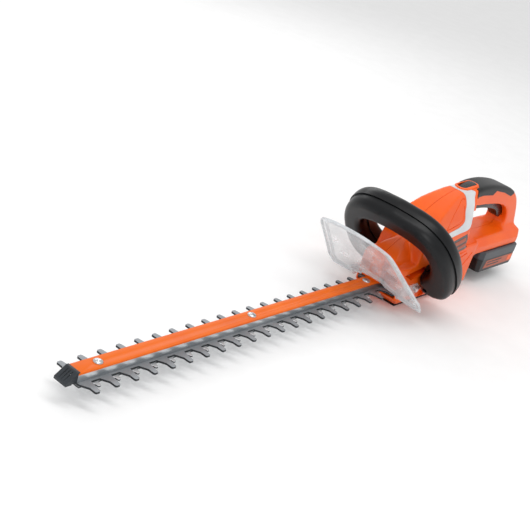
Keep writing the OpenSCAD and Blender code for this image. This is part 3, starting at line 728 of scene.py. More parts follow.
class Finishes:
    """The tool's finishes, each named for its own stuff and use."""

    def __init__(self) -> None:
        """Makes each material once."""
        # Glass-filled nylon, moulded: strong orange with a satin sheen.
        self.orange = Moulded(
            "orange_nylon_moulded", "#EE5606", "#F66208", 0.36, ior=1.4, coat=0.04
        ).build()
        # The same nylon drawn as a flat strip: smoother, so its highlight is even.
        self.strip = Moulded(
            "orange_strip_extruded", "#DF600A", "#E66A0C", 0.42, relief=0.008, ior=1.3
        ).build()
        # Black nylon for the bail: satin, with long soft highlights.
        self.black = Moulded(
            "black_nylon_moulded", "#06070A", "#0B0D10", 0.33, ior=1.36
        ).build()
        # Thermoplastic rubber on the grip: mid-rough, a little grey in the light.
        self.rubber = Moulded(
            "black_rubber_overmoulded", "#08090B", "#0E1012", 0.4, relief=0.03, ior=1.38
        ).build()
        # Glossier black plastic for small controls.
        self.control = Moulded(
            "black_acetal_moulded", "#07080A", "#0C0E10", 0.26, ior=1.42
        ).build()
        # Metallic silver lacquer on the inlay: fine flakes, soft sheen.
        self.silver = Metal(
            "silver_lacquer_sprayed", "#C6CACD", "#E4E6E8", 0.38, (0.5, 0.5, 0.5), 0.006, 0.35
        ).build()
        # Dark foil panel under clear lacquer.
        self.panel = Moulded(
            "dark_panel_lacquered", "#1A1513", "#241C19", 0.28, relief=0.004, coat=0.3
        ).build()
        # Orange-brown printed label film on the battery.
        self.label = Moulded(
            "label_film_printed", "#9A3F1E", "#B5532C", 0.4, relief=0.004
        ).build()
        # Dark grey ABS of the battery's upper case.
        self.pack_grey = Moulded("grey_abs_moulded", "#34383E", "#3F444A", 0.42).build()
        # Black ABS of its lower case.
        self.pack_black = Moulded("black_abs_moulded", "#0A0B0D", "#131417", 0.4).build()
        # Stamped and ground spring steel: lines run along each tooth.
        self.tooth = Metal(
            "tooth_steel_ground", "#85898D", "#989CA0", 0.5, (0.8, 14.0, 0.8), metallic=0.55
        ).build()
        # The lower blade, ground brighter where its cutting teeth show.
        self.cutter = Metal(
            "cutter_steel_ground", "#C2C5C8", "#D6D8DA", 0.42, (0.8, 14.0, 0.8), metallic=0.6
        ).build()
        # Stamped edges of the blades, dull, with painted shade darkening every sideways face.
        self.edge_shade = Metal(
            "blade_edge_painted_shade", "#26282A", "#3A3D40", 0.5, (2.0, 2.0, 0.6), 0.03, 0.7
        ).build()
        # Bumper at the tip: dark grey rubber, a little dusty.
        self.cap = Moulded(
            "tip_rubber_moulded", "#22262B", "#2D3237", 0.45, relief=0.03, ior=1.4
        ).build()
        # Rolled steel channel, with mill lines along it.
        self.channel = Metal(
            "channel_steel_rolled", "#B4B8BB", "#CFD2D4", 0.3, (40.0, 0.8, 0.8)
        ).build()
        # Zinc-plated screws and pins.
        self.zinc = Metal(
            "screw_steel_zinc_plated", "#B4B7BA", "#D6D8DA", 0.28, (1.0, 1.0, 1.0)
        ).build()
        # Hardened gear steel, dark and oily.
        self.gear = Metal(
            "gear_steel_hardened", "#55585B", "#77797C", 0.35, (1.0, 1.0, 6.0)
        ).build()
        # Die-cast alloy gear case: pale and slightly coarse.
        self.alloy = Metal(
            "case_alloy_die_cast", "#8A8E92", "#A9ADB0", 0.5, (1.2, 1.2, 1.2), 0.04
        ).build()
        # Sintered bronze bushes.
        self.bronze = Metal(
            "bush_bronze_sintered", "#8F6A3C", "#B08D57", 0.45, (0.8, 0.8, 0.8), 0.02
        ).build()
        # Stamped brass contacts.
        self.brass = Metal(
            "contact_brass_stamped", "#A98749", "#C9A865", 0.3, (8.0, 0.8, 0.8)
        ).build()
        # Copper windings over steel laminations.
        self.winding = Metal(
            "winding_copper_enamelled", "#7A4A2A", "#A9683A", 0.4, (0.9, 0.9, 20.0), 0.08
        ).build()
        # Shrink sleeve on the cells.
        self.sleeve = Moulded("cell_sleeve_shrunk", "#3F6A84", "#4E7C97", 0.3).build()
        # Silicone wire cover.
        self.wire = Moulded("wire_silicone_extruded", "#8E2A20", "#A83428", 0.4).build()
        # Clear polycarbonate of the hand guard, with painted reflection edge-on.
        self.clear = ClearSheet("guard_polycarbonate_clear", "#B9C0C5", 0.16, 0.62).build()
        # The guard's thick rim gathers light: a painted highlight makes it whiter and more opaque than its sheet.
        self.clear_rim_painted_highlight = ClearSheet("guard_rim_painted_highlight", "#D3D9DD", 0.5, 0.9).build()


def dress(made: Object, finish: Material, body: str) -> Object:
    """Gives a piece its finish and the body that it rides on.

    Args:
        made: The piece.
        finish: Its material.
        body: The CAD body that it moves with.

    Returns:
        The same piece.
    """
    made.data.materials.clear()
    made.data.materials.append(finish)
    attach(made, body)
    log.info("%s: %d faces on %s", made.name, len(made.data.polygons), body)
    return made


# ---- blades ------------------------------------------------------------------------


@dataclass
class BladeAssembly:
    """The two toothed blades, the channel over them, its strip, screws and tip cap."""

    finishes: Finishes
    edge: float = 0.45
    head_r: float = 5.4
    head_h: float = 2.5
    slot_w: float = 1.7
    shank_r: float = 2.5
    screw_count: int = 3
    cap_low: float = -0.6

    def build(self) -> None:
        """Makes every piece of the assembly."""
        f = self.finishes
        for node, finish in (("upper_blade", f.tooth), ("lower_blade", f.cutter)):
            made = refined(node, f"{node}_ground", self.edge, 1)
            dress(made, finish, node)
            # Faces that turn sideways take the dark edge finish: painted shade on the blades' edges.
            made.data.materials.append(f.edge_shade)
            for face in made.data.polygons:
                face.material_index = 1 if abs(face.normal.z) < 0.3 else 0
        bar = refined("blade_bar", "blade_bar_rolled", 0.8)
        dress(bar, f.channel, "body")
        strip = refined("blade_cover", "blade_cover_strip", 0.35)
        dress(strip, f.strip, "body")
        cap = refined("tip_cap", "tip_cap_moulded", 0.6)
        below = brick((-640, -20, -20), (-600, 20, self.cap_low))
        combine(cap, Join.CUT, piece(below, "below"))
        dress(shade(cap), f.cap, "body")
        self.screws()

    def screws(self) -> None:
        """Domed slotted screws through the strip and the channel."""
        lo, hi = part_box("blade_screws")
        low = (lo.z - CRANK.z) / MM
        seat = (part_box("blade_cover")[1].z - CRANK.z) / MM
        first = (lo.x - CRANK.x) / MM + self.head_r - 0.2
        last = (hi.x - CRANK.x) / MM - self.head_r + 0.2
        dome = [
            (self.head_r * math.cos(a), self.head_h * math.sin(a))
            for a in [math.pi / 2 * k / 8 for k in range(1, 9)]
        ]
        shank = self.shank_r
        for i in range(self.screw_count):
            x = first + (last - first) * i / (self.screw_count - 1)
            profile = [(0, low), (shank, low), (shank, seat), (self.head_r, seat)]
            profile += [(r if r > 0.01 else 0, seat + 0.3 + h) for r, h in dome]
            at = Matrix.Translation((x, 0, 0))
            made = piece(turned(profile, at), f"blade_screw_{i + 1}")
            half = self.slot_w / 2
            slot = brick((x - 7, -half, seat + 0.9), (x + 7, half, seat + 5))
            bmesh.ops.rotate(
                slot,
                cent=(x, 0, 0),
                matrix=Matrix.Rotation(math.radians(35 + 50 * i), 3, "Z"),
                verts=slot.verts,
            )
            combine(made, Join.CUT, piece(slot, "slot"))
            shade(made)
            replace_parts(made, "blade_screws")
            dress(made, self.finishes.zinc, "body")


# ---- housing ------------------------------------------------------------------------


@dataclass
class Housing:
    """The clamshell housing with its nose, rear handle, foot and inlays."""

    finishes: Finishes
    handle_half: float = 17.0
    inlay_depth: float = 1.1
    inlay_gap: float = 0.4
    seam: float = 0.6
    lock_hole: Outline = field(default_factory=lambda: oval(81.4, 122.6, 7.6))
    body_side: Outline = field(
        default_factory=lambda: [(-32, -22), (-32, 50)]
        + smooth_run(
            [(-30, 62), (-18, 82), (4, 102), (32, 116), (66, 126), (100, 130.5), (122, 131)]
        )
        + smooth_run([(106, 106), (110, 88), (120, 68), (136, 54), (151, 42)])
        + [(151, -2), (143, -13), (126, -20), (110, -22)]
    )
    body_front: Outline = field(
        default_factory=lambda: both_sides(
            [(26, -22), (35, -12), (35, 54), (33, 74), (29, 94), (23, 111), (15, 124), (6, 132)]
        )
    )
    nose_side: Outline = field(
        default_factory=lambda: [(-20, -22), (-37, -22), (-50, -13), (-58, -8), (-58, 12)]
        + [(-72, 32), (-64, 38), (-8, 46), (-8, 10)]
    )
    dome_side: Outline = field(
        default_factory=lambda: [(-20, 20), (-62, 20), (-76, 42)]
        + smooth_run([(-72, 48), (-56, 58), (-40, 66), (-22, 73)])
    )
    nose_front: Outline = field(
        default_factory=lambda: both_sides([(26, -22), (35, -12), (35, 50)])
    )
    dome_front: Outline = field(
        default_factory=lambda: both_sides(
            [(26, 20), (26, 34), (22, 46), (15, 58), (6, 68), (2, 74)]
        )
    )
    body_plan: Outline = field(
        default_factory=lambda: [(-34, 36), (132, 36), (151, 29), (151, -29), (132, -36)]
        + [(-34, -36)]
    )
    nose_plan: Outline = field(
        default_factory=lambda: [(-79, 18), (-74, 26), (-54, 35), (0, 35)]
        + [(0, -35), (-54, -35), (-74, -26), (-79, -18)]
    )
    handle_side: Outline = field(
        default_factory=lambda: smooth_run(
            [(90, 124), (124, 130), (160, 130), (200, 124.5), (230, 116.5)]
            + [(254, 104.5), (270, 87), (284, 62)]
        )
        + [(300, 30), (150, 30), (96, 60)]
    )
    finger_side: Outline = field(
        default_factory=lambda: smooth_run(
            [(98, 101), (130, 102), (168, 99.5), (206, 94.5), (231, 86)]
            + [(244, 72), (246, 59), (239, 51)]
        )
        + [(232, 50), (98, 50)]
    )
    foot_side: Outline = field(
        default_factory=lambda: [(118, 29), (118, 54), (284, 54), (292, 42), (290, 29)]
    )
    foot_front: Outline = field(
        default_factory=lambda: both_sides([(34, 29), (34, 40), (28, 48), (17, 54)])
    )
    foot_plan: Outline = field(
        default_factory=lambda: [(118, 34), (278, 34), (291, 26)]
        + [(291, -26), (278, -34), (118, -34)]
    )
    stripe_side: Outline = field(
        default_factory=lambda: smooth_run(
            [(46, 150), (56, 138), (70, 130), (77, 120), (73, 104), (73, 91)]
            + [(62, 84.5), (42, 81), (20, 78)]
        )
        + smooth_run([(34, 70.5), (64, 74), (90, 77), (97, 86), (98, 100), (101, 114)])
        + [(105, 127), (88, 131), (74, 138), (66, 150)]
    )
    badge_side: Outline = field(
        default_factory=lambda: [(44, 63), (72, 42), (104, 48.5), (91, 71)]
    )

    def part(
        self, side: Outline, front: Outline, plan: Outline, span: tuple[float, float]
    ) -> Object:
        """A solid with the given side, front and plan outlines.

        Args:
            side: The outline seen from the side.
            front: The outline seen from the front.
            plan: The outline seen from above.
            span: Where the front outline's prism starts and ends along X.

        Returns:
            The solid that all three outlines share.
        """
        made = through(side, "form")
        combine(made, Join.KEEP, piece(slab(front, *span, Lay.FRONT), "front"))
        return combine(made, Join.KEEP, piece(slab(plan, -40, 150, Lay.PLAN), "plan"))

    def form(self) -> Object:
        """The whole outside as one softened solid."""
        made = self.part(self.body_side, self.body_front, self.body_plan, (-90, 160))
        for side, front in ((self.nose_side, self.nose_front), (self.dome_side, self.dome_front)):
            combine(made, Join.ADD, self.part(side, front, self.nose_plan, (-90, 10)))
        half = self.handle_half
        handle = piece(slab(self.handle_side, -half, half, Lay.SIDE, 7), "handle")
        foot = self.part(self.foot_side, self.foot_front, self.foot_plan, (118, 330))
        combine(made, Join.ADD, foot, handle)
        combine(made, Join.CUT, piece(slab(self.finger_side, -50, 50, Lay.SIDE), "finger"))
        return soften(made, 1.6, 10)

    def build(self) -> None:
        """Makes the halves of the housing, the inlays, the panels and the grip."""
        skin = Skin(self.form(), self.inlay_depth, 0.2)
        shell = self.shell(skin)
        for side, word in SIDES:
            lo, hi = sorted((0.0, side * WIDE))
            made = twin(shell, f"{word}_housing_shell")
            combine(made, Join.KEEP, piece(brick((-100, lo, -40), (330, hi, 160)), "half"))
            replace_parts(shade(made), f"{word}_housing")
            dress(made, self.finishes.orange, "body")
            self.trim(skin, side, word)
        self.grip(skin.form)
        self.lock_ring(skin.form)
        drop(skin.form, skin.core, shell)

    def shell(self, skin: Skin) -> Object:
        """Both halves as one piece, with inlay beds, grooves, openings and the seam."""
        cuts = [self.stripe_side, self.badge_side]
        for points, steps, width in (
            ([(84, 31.5), (97, 34), (111, 38)], 4, 2.0),
            ([(103, 12), (117, 25), (128, 37)], 4, 2.2),
            ([(24, 84), (34, 97.5), (48, 110), (66, 120.5), (73, 119)], 5, 1.1),
            ([(24, 84), (44, 86.5), (62, 90), (69, 96), (69, 112)], 5, 1.1),
        ):
            cuts.append(ribbon(smooth_run(points, steps), width))
        made = twin(skin.form, "shell")
        for outline in cuts:
            tool = combine(through(outline, "tool"), Join.CUT, skin.core, keep=True)
            combine(made, Join.CUT, tool)
        combine(made, Join.CUT, *self.openings())
        seam = piece(brick((-95, -self.seam / 2, -40), (320, self.seam / 2, 150)), "seam")
        return combine(made, Join.CUT, combine(seam, Join.CUT, skin.core, keep=True))

    def trim(self, skin: Skin, side: int, word: str) -> None:
        """Makes one side's stripe, dark panel, plain bars and raised bar.

        Args:
            skin: The housing's outside.
            side: -1 for the operator's left side, 1 for the right.
            word: The side's name.
        """
        f = self.finishes
        bed = inward(self.stripe_side, self.inlay_gap)
        stripe = skin.patch(bed, side, 0.15, f"{word}_stripe_inlay")
        pocket = slab(oval(77.8, 126, 10.6), 100, 160, Lay.PLAN)
        combine(stripe, Join.CUT, piece(pocket, "pocket"))
        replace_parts(shade(stripe), f"{word}_stripe")
        dress(stripe, f.silver, "body")
        bed = inward(self.badge_side, self.inlay_gap)
        badge = skin.patch(bed, side, -0.2, f"{word}_panel")
        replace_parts(shade(badge), f"{word}_badge")
        dress(badge, f.panel, "body")
        for k, (low, high) in enumerate(((0.16, 0.44), (0.58, 0.84))):
            name = f"{word}_panel_bar_{k + 1}"
            bar = skin.patch(self.badge_bar(low, high), side, 0.15, name)
            dress(shade(bar), f.label, "body")
        line = ribbon([(75, 37.6), (90, 38.9), (105, 41.2)], 3.2)
        pill = skin.patch(line, side, 0.7, f"{word}_raised_bar")
        dress(shade(pill), f.orange, "body")

    def badge_bar(self, lo: float, hi: float) -> Outline:
        """A plain bar across the dark panel.

        Args:
            lo: Where the bar starts, as a share of the panel's height.
            hi: Where it ends.

        Returns:
            The bar's side outline.
        """
        a, b, c, d = (Vector(p) for p in self.badge_side)
        left = [a.lerp(b, 0.5 + (s - 0.5) * 0.9) for s in (lo, hi)]
        right = [d.lerp(c, 0.5 + (s - 0.5) * 0.9) for s in (lo, hi)]
        ends = [
            left[0].lerp(right[0], 0.1),
            left[1].lerp(right[1], 0.1),
            right[1].lerp(left[1], 0.12),
            right[0].lerp(left[0], 0.12),
        ]
        return [(p.x, p.y) for p in ends]

    def openings(self) -> list[Object]:
        """The solids that open the housing: mouth, pockets, slots, rail way and vents."""
        made = [
            # The mouth for the blades, and the higher way in its middle for the channel.
            brick((-95, -31, -6.6), (-36, 31, 2.4)),
            brick((-95, -9.6, -6.6), (-36, 9.6, 11.6)),
            # The lock-off button's pocket.
            slab(self.lock_hole, 106, 150, Lay.PLAN),
            # The battery's rail way, the way for its lips, and the open rear.
            brick((163, -16, 20), (330, 16, 39.5)),
            brick((163, -20.5, 32.6), (330, 20.5, 39.5)),
            brick((282, -40, 20), (330, 40, 39.5)),
            # The trigger's slot.
            slab(self.trigger_way(), -8.5, 8.5, Lay.SIDE),
        ]
        for side in (-1, 1):
            # The slanted recess beside the nose, and the round one low on the flank.
            lo, hi = sorted((side * 22, side * 40))
            made.append(slab([(-56, 30), (-10, 37), (6, 28), (-36, 20.6)], -hi, -lo, Lay.SIDE))
            lo, hi = sorted((side * 30.4, side * 40))
            low = [(-24, -4), (6, 0), (18, -10), (8, -24), (-18, -24)]
            made.append(slab(low, -hi, -lo, Lay.SIDE))
            # Four cooling slots, each 7 mm above the last.
            lo, hi = sorted((side * 30, side * 40))
            for k in range(4):
                z = 2 + 7 * k
                made.append(brick((62 + 3 * k, lo, z - 14), (92 + 3 * k, hi, z - 11.4)))
        return [piece(bm, "opening") for bm in made]

    def trigger_way(self) -> Outline:
        """The slot that the trigger moves in."""
        low = [(119, 90), (158, 88), (192, 84), (216, 76), (228, 66), (238, 62), (248, 70)]
        high = [(228, 98), (194, 106), (158, 113), (120, 117)]
        return smooth_run(low) + [(249, 88), (242, 93)] + smooth_run(high)

    def grip(self, form: Object) -> None:
        """The rubber skin over the top of the rear handle, with a stepped lower edge."""
        outline = smooth_run([(112, 138), (200, 136), (246, 124)])
        outline += [(239, 110), (228, 106.5), (202, 115), (171, 121.5)]
        outline += [(163, 115.5), (131, 118.5), (111, 117)]
        core = swell(twin(form, "grip_core"), -0.6)
        skin = swell(twin(form, "grip_skin"), 0.7)
        made = combine(through(outline, "grip_rubber_skin"), Join.KEEP, skin)
        gap = slab(oval(77, 127, 12), 90, 150, Lay.PLAN)
        combine(made, Join.CUT, core, piece(gap, "gap"))
        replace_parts(shade(made), "grip_overmould")
        dress(made, self.finishes.rubber, "body")

    def lock_ring(self, form: Object) -> None:
        """The raised oval lip round the lock-off button."""
        skin = swell(twin(form, "lip_skin"), 1.6)
        made = piece(slab(oval(78, 126, 10.4), 119, 150, Lay.PLAN), "lock_off_lip")
        combine(made, Join.KEEP, skin)
        combine(made, Join.CUT, piece(slab(self.lock_hole, 100, 160, Lay.PLAN), "hole"))
        soft = made.modifiers.new("round", "BEVEL")
        soft.width, soft.segments, soft.limit_method = 0.9 * MM, 3, "ANGLE"
        soft.angle_limit = math.radians(40)
        dress(shade(settle(made)), self.finishes.orange, "body")


# ---- bail handle --------------------------------------------------------------------


@dataclass
class BailHandle:
    """The round hoop handle in front of the housing, in two shells."""

    finishes: Finishes
    foot: tuple[float, float] = (-4.0, 26.0)
    lean: float = 40.0
    outer: Outline = field(
        default_factory=lambda: smooth_run(
            [(61, -26), (79, -15), (88, 8), (90, 40), (86, 68), (75, 93), (57, 110)]
            + [(35, 118), (0, 121)]
        )
    )
    inner: Outline = field(
        default_factory=lambda: smooth_run(
            [(0, 84), (24, 82), (45, 74), (54, 60), (55, 40), (51, 24), (41, 10)]
        )
    )
    rises: tuple[tuple[float, float], ...] = ((8, 0), (6, 1.6), (3.4, 3.0), (1.6, 4.2))
    side: float = 35.4
    # The hump at the hoop's foot reaches 4 mm further out on the right than on the left.
    hump_y: tuple[tuple[float, float], ...] = ((-47.0, -35.4), (35.4, 51.0))
    step: dict[str, float] = field(default_factory=lambda: {"front": -1.3, "rear": 0.7})

    def arch(self) -> Outline:
        """The hoop's whole outline, from foot to foot."""
        left = [(-u, v) for u, v in reversed(self.outer[:-1])]
        back = [(-u, v) for u, v in reversed(self.inner[1:])]
        return (
            [(self.side, -26)]
            + self.outer
            + left
            + [(-self.side, -26), (-self.side, 10)]
            + back
            + self.inner
            + [(self.side, 10)]
        )

    def build(self) -> None:
        """Makes both shells with their parting step and screw wells."""
        lean = leaning(self.foot, self.lean)
        hoop = pillow(self.arch(), self.rises, Lay.FRONT)
        form = placed(hoop, lean, "hoop")
        for lo, hi in self.hump_y:
            combine(form, Join.ADD, placed(brick((-15, lo, 6), (7, hi, 31), 4), lean, "hump"))
        soften(form, 1.5, 12)
        for side, word in ((-1, "front"), (1, "rear")):
            made = swell(twin(form, f"bail_{word}_shell_moulded"), self.step[word])
            lo, hi = sorted((side * 0.12, side * 40.0))
            half = brick((lo, -120, -60), (hi, 120, 160))
            combine(made, Join.KEEP, placed(half, lean, "half"))
            combine(made, Join.CUT, *self.wells(side, lean))
            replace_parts(shade(made), f"bail_{word}_shell")
            dress(made, self.finishes.black, "body")
        drop(form)

    def wells(self, side: int, lean: Matrix) -> list[Object]:
        """Round wells for the screws that go in from one side.

        Args:
            side: -1 for the front shell, 1 for the rear one.
            lean: The hoop's place.

        Returns:
            The solids to cut away.
        """
        spots = ((48, -10), (-48, -10)) if side < 0 else ((67, 88), (-67, 88))
        made = []
        for t, up in spots:
            turn = Matrix.Rotation(side * math.pi / 2, 4, "Y")
            at = lean @ Matrix.Translation((side * 10, t, up)) @ turn
            made.append(piece(turned([(0, 0), (3.8, 0), (3.8, 20), (0, 20)], at), "well"))
        return made


# ---- guard ---------------------------------------------------------------------------


@dataclass
class HandGuard:
    """The clear shield across the blades, with a thick rim and a ribbed middle."""

    finishes: Finishes
    foot: tuple[float, float] = (-65.0, 2.2)
    lean: float = 49.0
    sheet: float = 1.8
    ribs: tuple[float, ...] = (6.5, 9.5)
    half_outline: Outline = field(
        default_factory=lambda: [(12, 18), (16, 17), (20, 8), (32, 3.5), (38, -6)]
        + [(56, -8.5), (74, -9), (76.5, 14), (71, 43), (63, 90)]
        + smooth_run([(60, 110), (55, 126), (44, 134), (22, 141), (0, 143)])
    )

    def outline(self) -> Outline:
        """The shield's whole outline."""
        return self.half_outline + [(-u, v) for u, v in reversed(self.half_outline[:-1])]

    def ring(self, name: str, out: float, within: float, low: float, proud: float) -> Object:
        """A raised line that follows the shield's outline.

        Args:
            name: The piece's name.
            out: How far its outer edge is inside the outline.
            within: How far its inner edge is inside the outline.
            low: Where it starts across the sheet.
            proud: How far it stands out of the sheet's face.

        Returns:
            The ring, in its place on the tool.
        """
        lean = leaning(self.foot, self.lean)
        outer = inward(self.outline(), out) if out else self.outline()
        made = placed(slab(outer, low, self.sheet + proud, Lay.FRONT), lean, name)
        hole = slab(inward(self.outline(), within), -2, self.sheet + 3, Lay.FRONT)
        return combine(made, Join.CUT, placed(hole, lean, "hole"))

    def build(self) -> None:
        """Makes the shield, its rim and its two arms."""
        lean = leaning(self.foot, self.lean)
        sheet, face = drawn(self.outline(), 0)
        bottom = bmesh.ops.extrude_face_region(sheet, geom=[face])["geom"]
        top = next(g for g in bottom if isinstance(g, bmesh.types.BMFace))
        bmesh.ops.translate(sheet, verts=top.verts, vec=(0, 0, self.sheet))
        for thickness, depth in ((12.5, 0.0), (1.2, -0.9)):
            bmesh.ops.inset_region(sheet, faces=[top], thickness=thickness, depth=depth)
        made = placed(sheet, lean @ Lay.FRONT.matrix(), "hand_guard_shield")
        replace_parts(shade(made, 20), "guard")
        dress(made, self.finishes.clear, "body")
        # The rim and its ribs take the whiter finish: a painted highlight.
        edge = self.ring("hand_guard_rim", 0.0, 2.0, -0.2, 0.9)
        for out in self.ribs:
            rib = self.ring("rib", out, out + 0.9, -0.4 + self.sheet, 0.8)
            combine(edge, Join.ADD, rib)
        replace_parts(shade(edge), "guard")
        dress(edge, self.finishes.clear_rim_painted_highlight, "body")
        arm = [(-61.5, -3), (-16, -3), (-11, 1), (-11, 9), (-16, 13), (-74, 13)]
        for side, word in SIDES:
            lo, hi = sorted((side * 35.3, side * 38.0))
            flap = piece(slab(arm, -hi, -lo, Lay.SIDE, 0.5), f"hand_guard_arm_{word}")
            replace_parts(shade(flap), "guard")
            dress(flap, self.finishes.clear, "body")


# ---- controls -------------------------------------------------------------------------


@dataclass
class Controls:
    """The trigger, the lock-off button and the skid."""

    finishes: Finishes

    def build(self) -> None:
        """Makes the pieces that a hand or the floor touches."""
        f = self.finishes
        for node, edge, faces, finish, body in (
            ("trigger", 2.0, 3, f.control, "trigger"),
            ("lock_off_button", 1.2, 3, f.control, "lock_off"),
            ("skid_plate", 0.8, 2, f.black, "body"),
        ):
            made = refined(node, f"{node}_moulded", edge, faces)
            dress(made, finish, body)


# ---- battery --------------------------------------------------------------------------


@dataclass
class Battery:
    """The slide-in battery: cases, rail, label strips and latch."""

    finishes: Finishes
    x0: float = 168.0
    x1: float = 284.0
    half: float = 37.0
    low: float = -4.5
    top: float = 28.5
    split: float = 15.5
    label_side: Outline = field(
        default_factory=lambda: [(184, 0), (189, 12.5), (276, 12.5), (280, 8), (277, 0)]
    )
    square_side: Outline = field(
        default_factory=lambda: [(262, 2.2), (262, 10.6), (273, 10.6), (275.4, 7), (273.6, 2.2)]
    )

    def case(self) -> Object:
        """The whole case as one sharp-edged solid."""
        side = [
            (self.x0 + 2, self.low),
            (self.x0, self.top),
            (self.x1, self.top),
            (self.x1, self.low + 13),
            (self.x1 - 9, self.low),
        ]
        plan = [
            (self.x0, self.half - 7),
            (self.x0 + 6, self.half),
            (self.x1 - 6, self.half),
            (self.x1, self.half - 7),
        ]
        plan += [(u, -v) for u, v in reversed(plan)]
        form = through(side, "case")
        return combine(form, Join.KEEP, piece(slab(plan, -30, 60, Lay.PLAN), "plan"))

    def build(self) -> None:
        """Makes the battery's visible pieces."""
        f = self.finishes
        form = soften(self.case(), 1.0, 5)
        lower = twin(form, "battery_lower_case_moulded")
        below = brick((150, -WIDE, -40), (300, WIDE, self.split - 0.3))
        combine(lower, Join.KEEP, piece(below, "below"))
        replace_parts(shade(lower), "battery_lower_case")
        upper = swell(twin(form, "battery_upper_case_moulded"), 0.5)
        above = brick((150, -WIDE, self.split + 0.3), (300, WIDE, 29))
        combine(upper, Join.KEEP, piece(above, "above"))
        rail = slab([(172, 28), (172, 39), (268, 39), (268, 28)], -15.5, 15.5, Lay.SIDE)
        lips = brick((172, -20, 33), (268, 20, 39), 0.6)
        stop = slab([(276, 27), (277, 36), (281, 37), (284, 35), (284, 27)], -12, 12, Lay.SIDE, 1.0)
        combine(upper, Join.ADD, piece(rail, "rail"), piece(lips, "lips"), piece(stop, "stop"))
        for y in (-9, 0, 9):
            combine(upper, Join.CUT, piece(brick((170, y - 1, 34), (181, y + 1, 41)), "slot"))
        pocket = brick((275, -12.4, 17.2), (300, 12.4, 25.8))
        combine(upper, Join.CUT, piece(pocket, "pocket"))
        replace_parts(shade(upper), "battery_upper_case")
        skin = Skin(form, 0.9, 10)
        for side, word in SIDES:
            self.label(skin, side, word)
        drop(skin.form, skin.core)
        dress(lower, f.pack_black, "battery")
        dress(upper, f.pack_grey, "battery")
        latch = refined("battery_latch", "battery_latch_moulded", 0.8)
        dress(latch, f.control, "latch")

    def label(self, skin: Skin, side: int, word: str) -> None:
        """Makes one side's label strip with its plain square and plain lines.

        Args:
            skin: The case's outside.
            side: -1 for the operator's left side, 1 for the right.
            word: The side's name.
        """
        f = self.finishes
        strip = shade(skin.patch(self.label_side, side, 0.12, f"battery_label_{word}"))
        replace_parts(strip, "battery_labels")
        dress(strip, f.label, "battery")
        name = f"battery_label_square_{word}"
        mark = shade(skin.patch(self.square_side, side, 0.4, name))
        dress(mark, f.orange, "battery")
        for k in range(2):
            bar = ribbon([(194, 9.2 - 4.6 * k), (240 - 8 * k, 9.2 - 4.6 * k)], 1.7)
            line = skin.patch(bar, side, 0.3, f"battery_label_line_{word}_{k + 1}")
            dress(shade(line), f.pack_black, "battery")


# ---- what stays as the CAD made it ------------------------------------------------------


@dataclass
class Mechanism:
    """The gear case, crank, motor, fasteners and electrics, which keep their CAD shape."""

    finishes: Finishes

    def build(self) -> None:
        """Gives every CAD node that still shows its finish."""
        f = self.finishes
        by_slot = {
            "fastener_steel": f.zinc,
            "case_alloy": f.alloy,
            "gear_steel": f.gear,
            "bush_bronze": f.bronze,
            "motor_steel": f.channel,
            "winding": f.winding,
            "dark_plastic": f.control,
            "spring_steel": f.zinc,
            "wire_cover": f.wire,
            "cell_steel": f.sleeve,
            "contact_brass": f.brass,
            "bar_steel": f.channel,
            "tooth_steel": f.tooth,
            "orange_plastic": f.orange,
            "black_plastic": f.black,
            "grip_rubber": f.rubber,
            "stripe_plastic": f.silver,
            "badge_film": f.panel,
            "cover_plastic": f.strip,
            "cap_rubber": f.rubber,
            "clear_plastic": f.clear,
            "pack_dark": f.pack_black,
            "pack_grey": f.pack_grey,
            "label_film": f.label,
        }
        slots = {s["node"]: s["material_slot"] for s in frame["record"]["subparts"]}
        for name, made in frame["nodes"].items():
            made.data.materials.clear()
            made.data.materials.append(by_slot[slots[name]])


# ---- studio --------------------------------------------------------------------------------


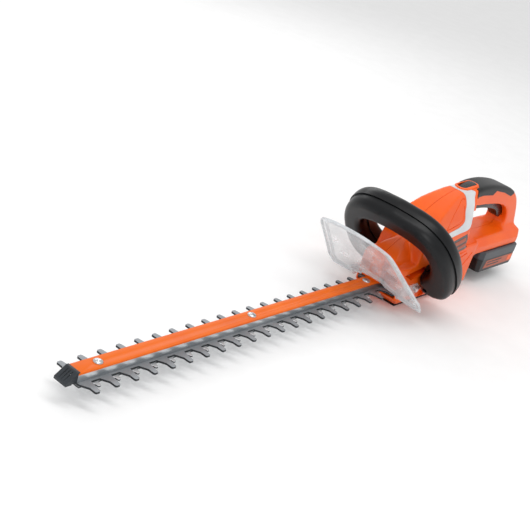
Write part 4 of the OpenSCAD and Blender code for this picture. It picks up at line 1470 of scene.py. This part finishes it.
@dataclass
class Studio:
    """A pale floor, soft lights and the camera."""

    lens: float = 76.06
    eye: tuple[float, float, float] = (-1314.04, -615.54, 573.18)
    right: tuple[float, float, float] = (0.6109, -0.7389, 0.2843)
    up: tuple[float, float, float] = (0.1521, 0.4620, 0.8738)
    ahead: tuple[float, float, float] = (0.7769, 0.4906, -0.3946)
    aim: tuple[float, float, float] = (0.05, 0.0, 0.08)
    floor_half: float = 9.0
    sky: float = 0.8

    def build(self) -> None:
        """Makes the camera, the floor and the lights."""
        scene = bpy.context.scene
        data = bpy.data.cameras.new("camera")
        data.lens, data.sensor_width = self.lens, 36.0
        camera = bpy.data.objects.new("camera", data)
        axes = Matrix((self.right, self.up, [-a for a in self.ahead])).transposed()
        camera.matrix_world = Matrix.Translation(PLACE @ Vector(self.eye)) @ axes.to_4x4()
        scene.collection.objects.link(camera)
        scene.camera = camera
        self.floor()
        self.lights()
        scene.view_settings.view_transform = "Standard"

    def floor(self) -> None:
        """A wide pale floor under the tool."""
        bm = bmesh.new()
        bmesh.ops.create_grid(bm, x_segments=1, y_segments=1, size=self.floor_half)
        mesh = bpy.data.meshes.new("floor")
        bm.to_mesh(mesh)
        bm.free()
        made = bpy.data.objects.new("floor", mesh)
        bpy.context.scene.collection.objects.link(made)
        # Seamless paper backdrop: matt white with the faintest mottle.
        paper = Moulded("backdrop_paper_matt", "#F4F4F4", "#F7F7F7", 0.9, 3.0, 0.0)
        mesh.materials.append(paper.build())

    def lights(self) -> None:
        """A bright room and soft panels: above left, in front, and behind."""
        world = bpy.data.worlds.new("studio")
        world.use_nodes = True
        back = world.node_tree.nodes["Background"]
        back.inputs["Color"].default_value = (1.0, 1.0, 1.0, 1.0)
        back.inputs["Strength"].default_value = self.sky
        bpy.context.scene.world = world
        for name, at, size, power in (
            ("overhead", (-0.3, -0.2, 1.6), (1.6, 0.4), 8.0),
            ("key", (-1.3, -1.2, 1.2), (0.7, 0.9), 6.0),
            ("rim", (0.9, 1.3, 1.0), (1.2, 0.5), 5.0),
        ):
            data = bpy.data.lights.new(name, "AREA")
            data.shape, data.size, data.size_y = "RECTANGLE", *size
            data.energy = power
            lamp = bpy.data.objects.new(name, data)
            turn = (Vector(self.aim) - Vector(at)).to_track_quat("-Z", "Y")
            lamp.matrix_world = Matrix.Translation(at) @ turn.to_matrix().to_4x4()
            bpy.context.scene.collection.objects.link(lamp)


def main() -> None:
    """Builds the studio and every assembly."""
    Studio().build()
    finishes = Finishes()
    Mechanism(finishes).build()
    BladeAssembly(finishes).build()
    Housing(finishes).build()
    BailHandle(finishes).build()
    HandGuard(finishes).build()
    Controls(finishes).build()
    Battery(finishes).build()


if __name__ == "__main__":
    main()
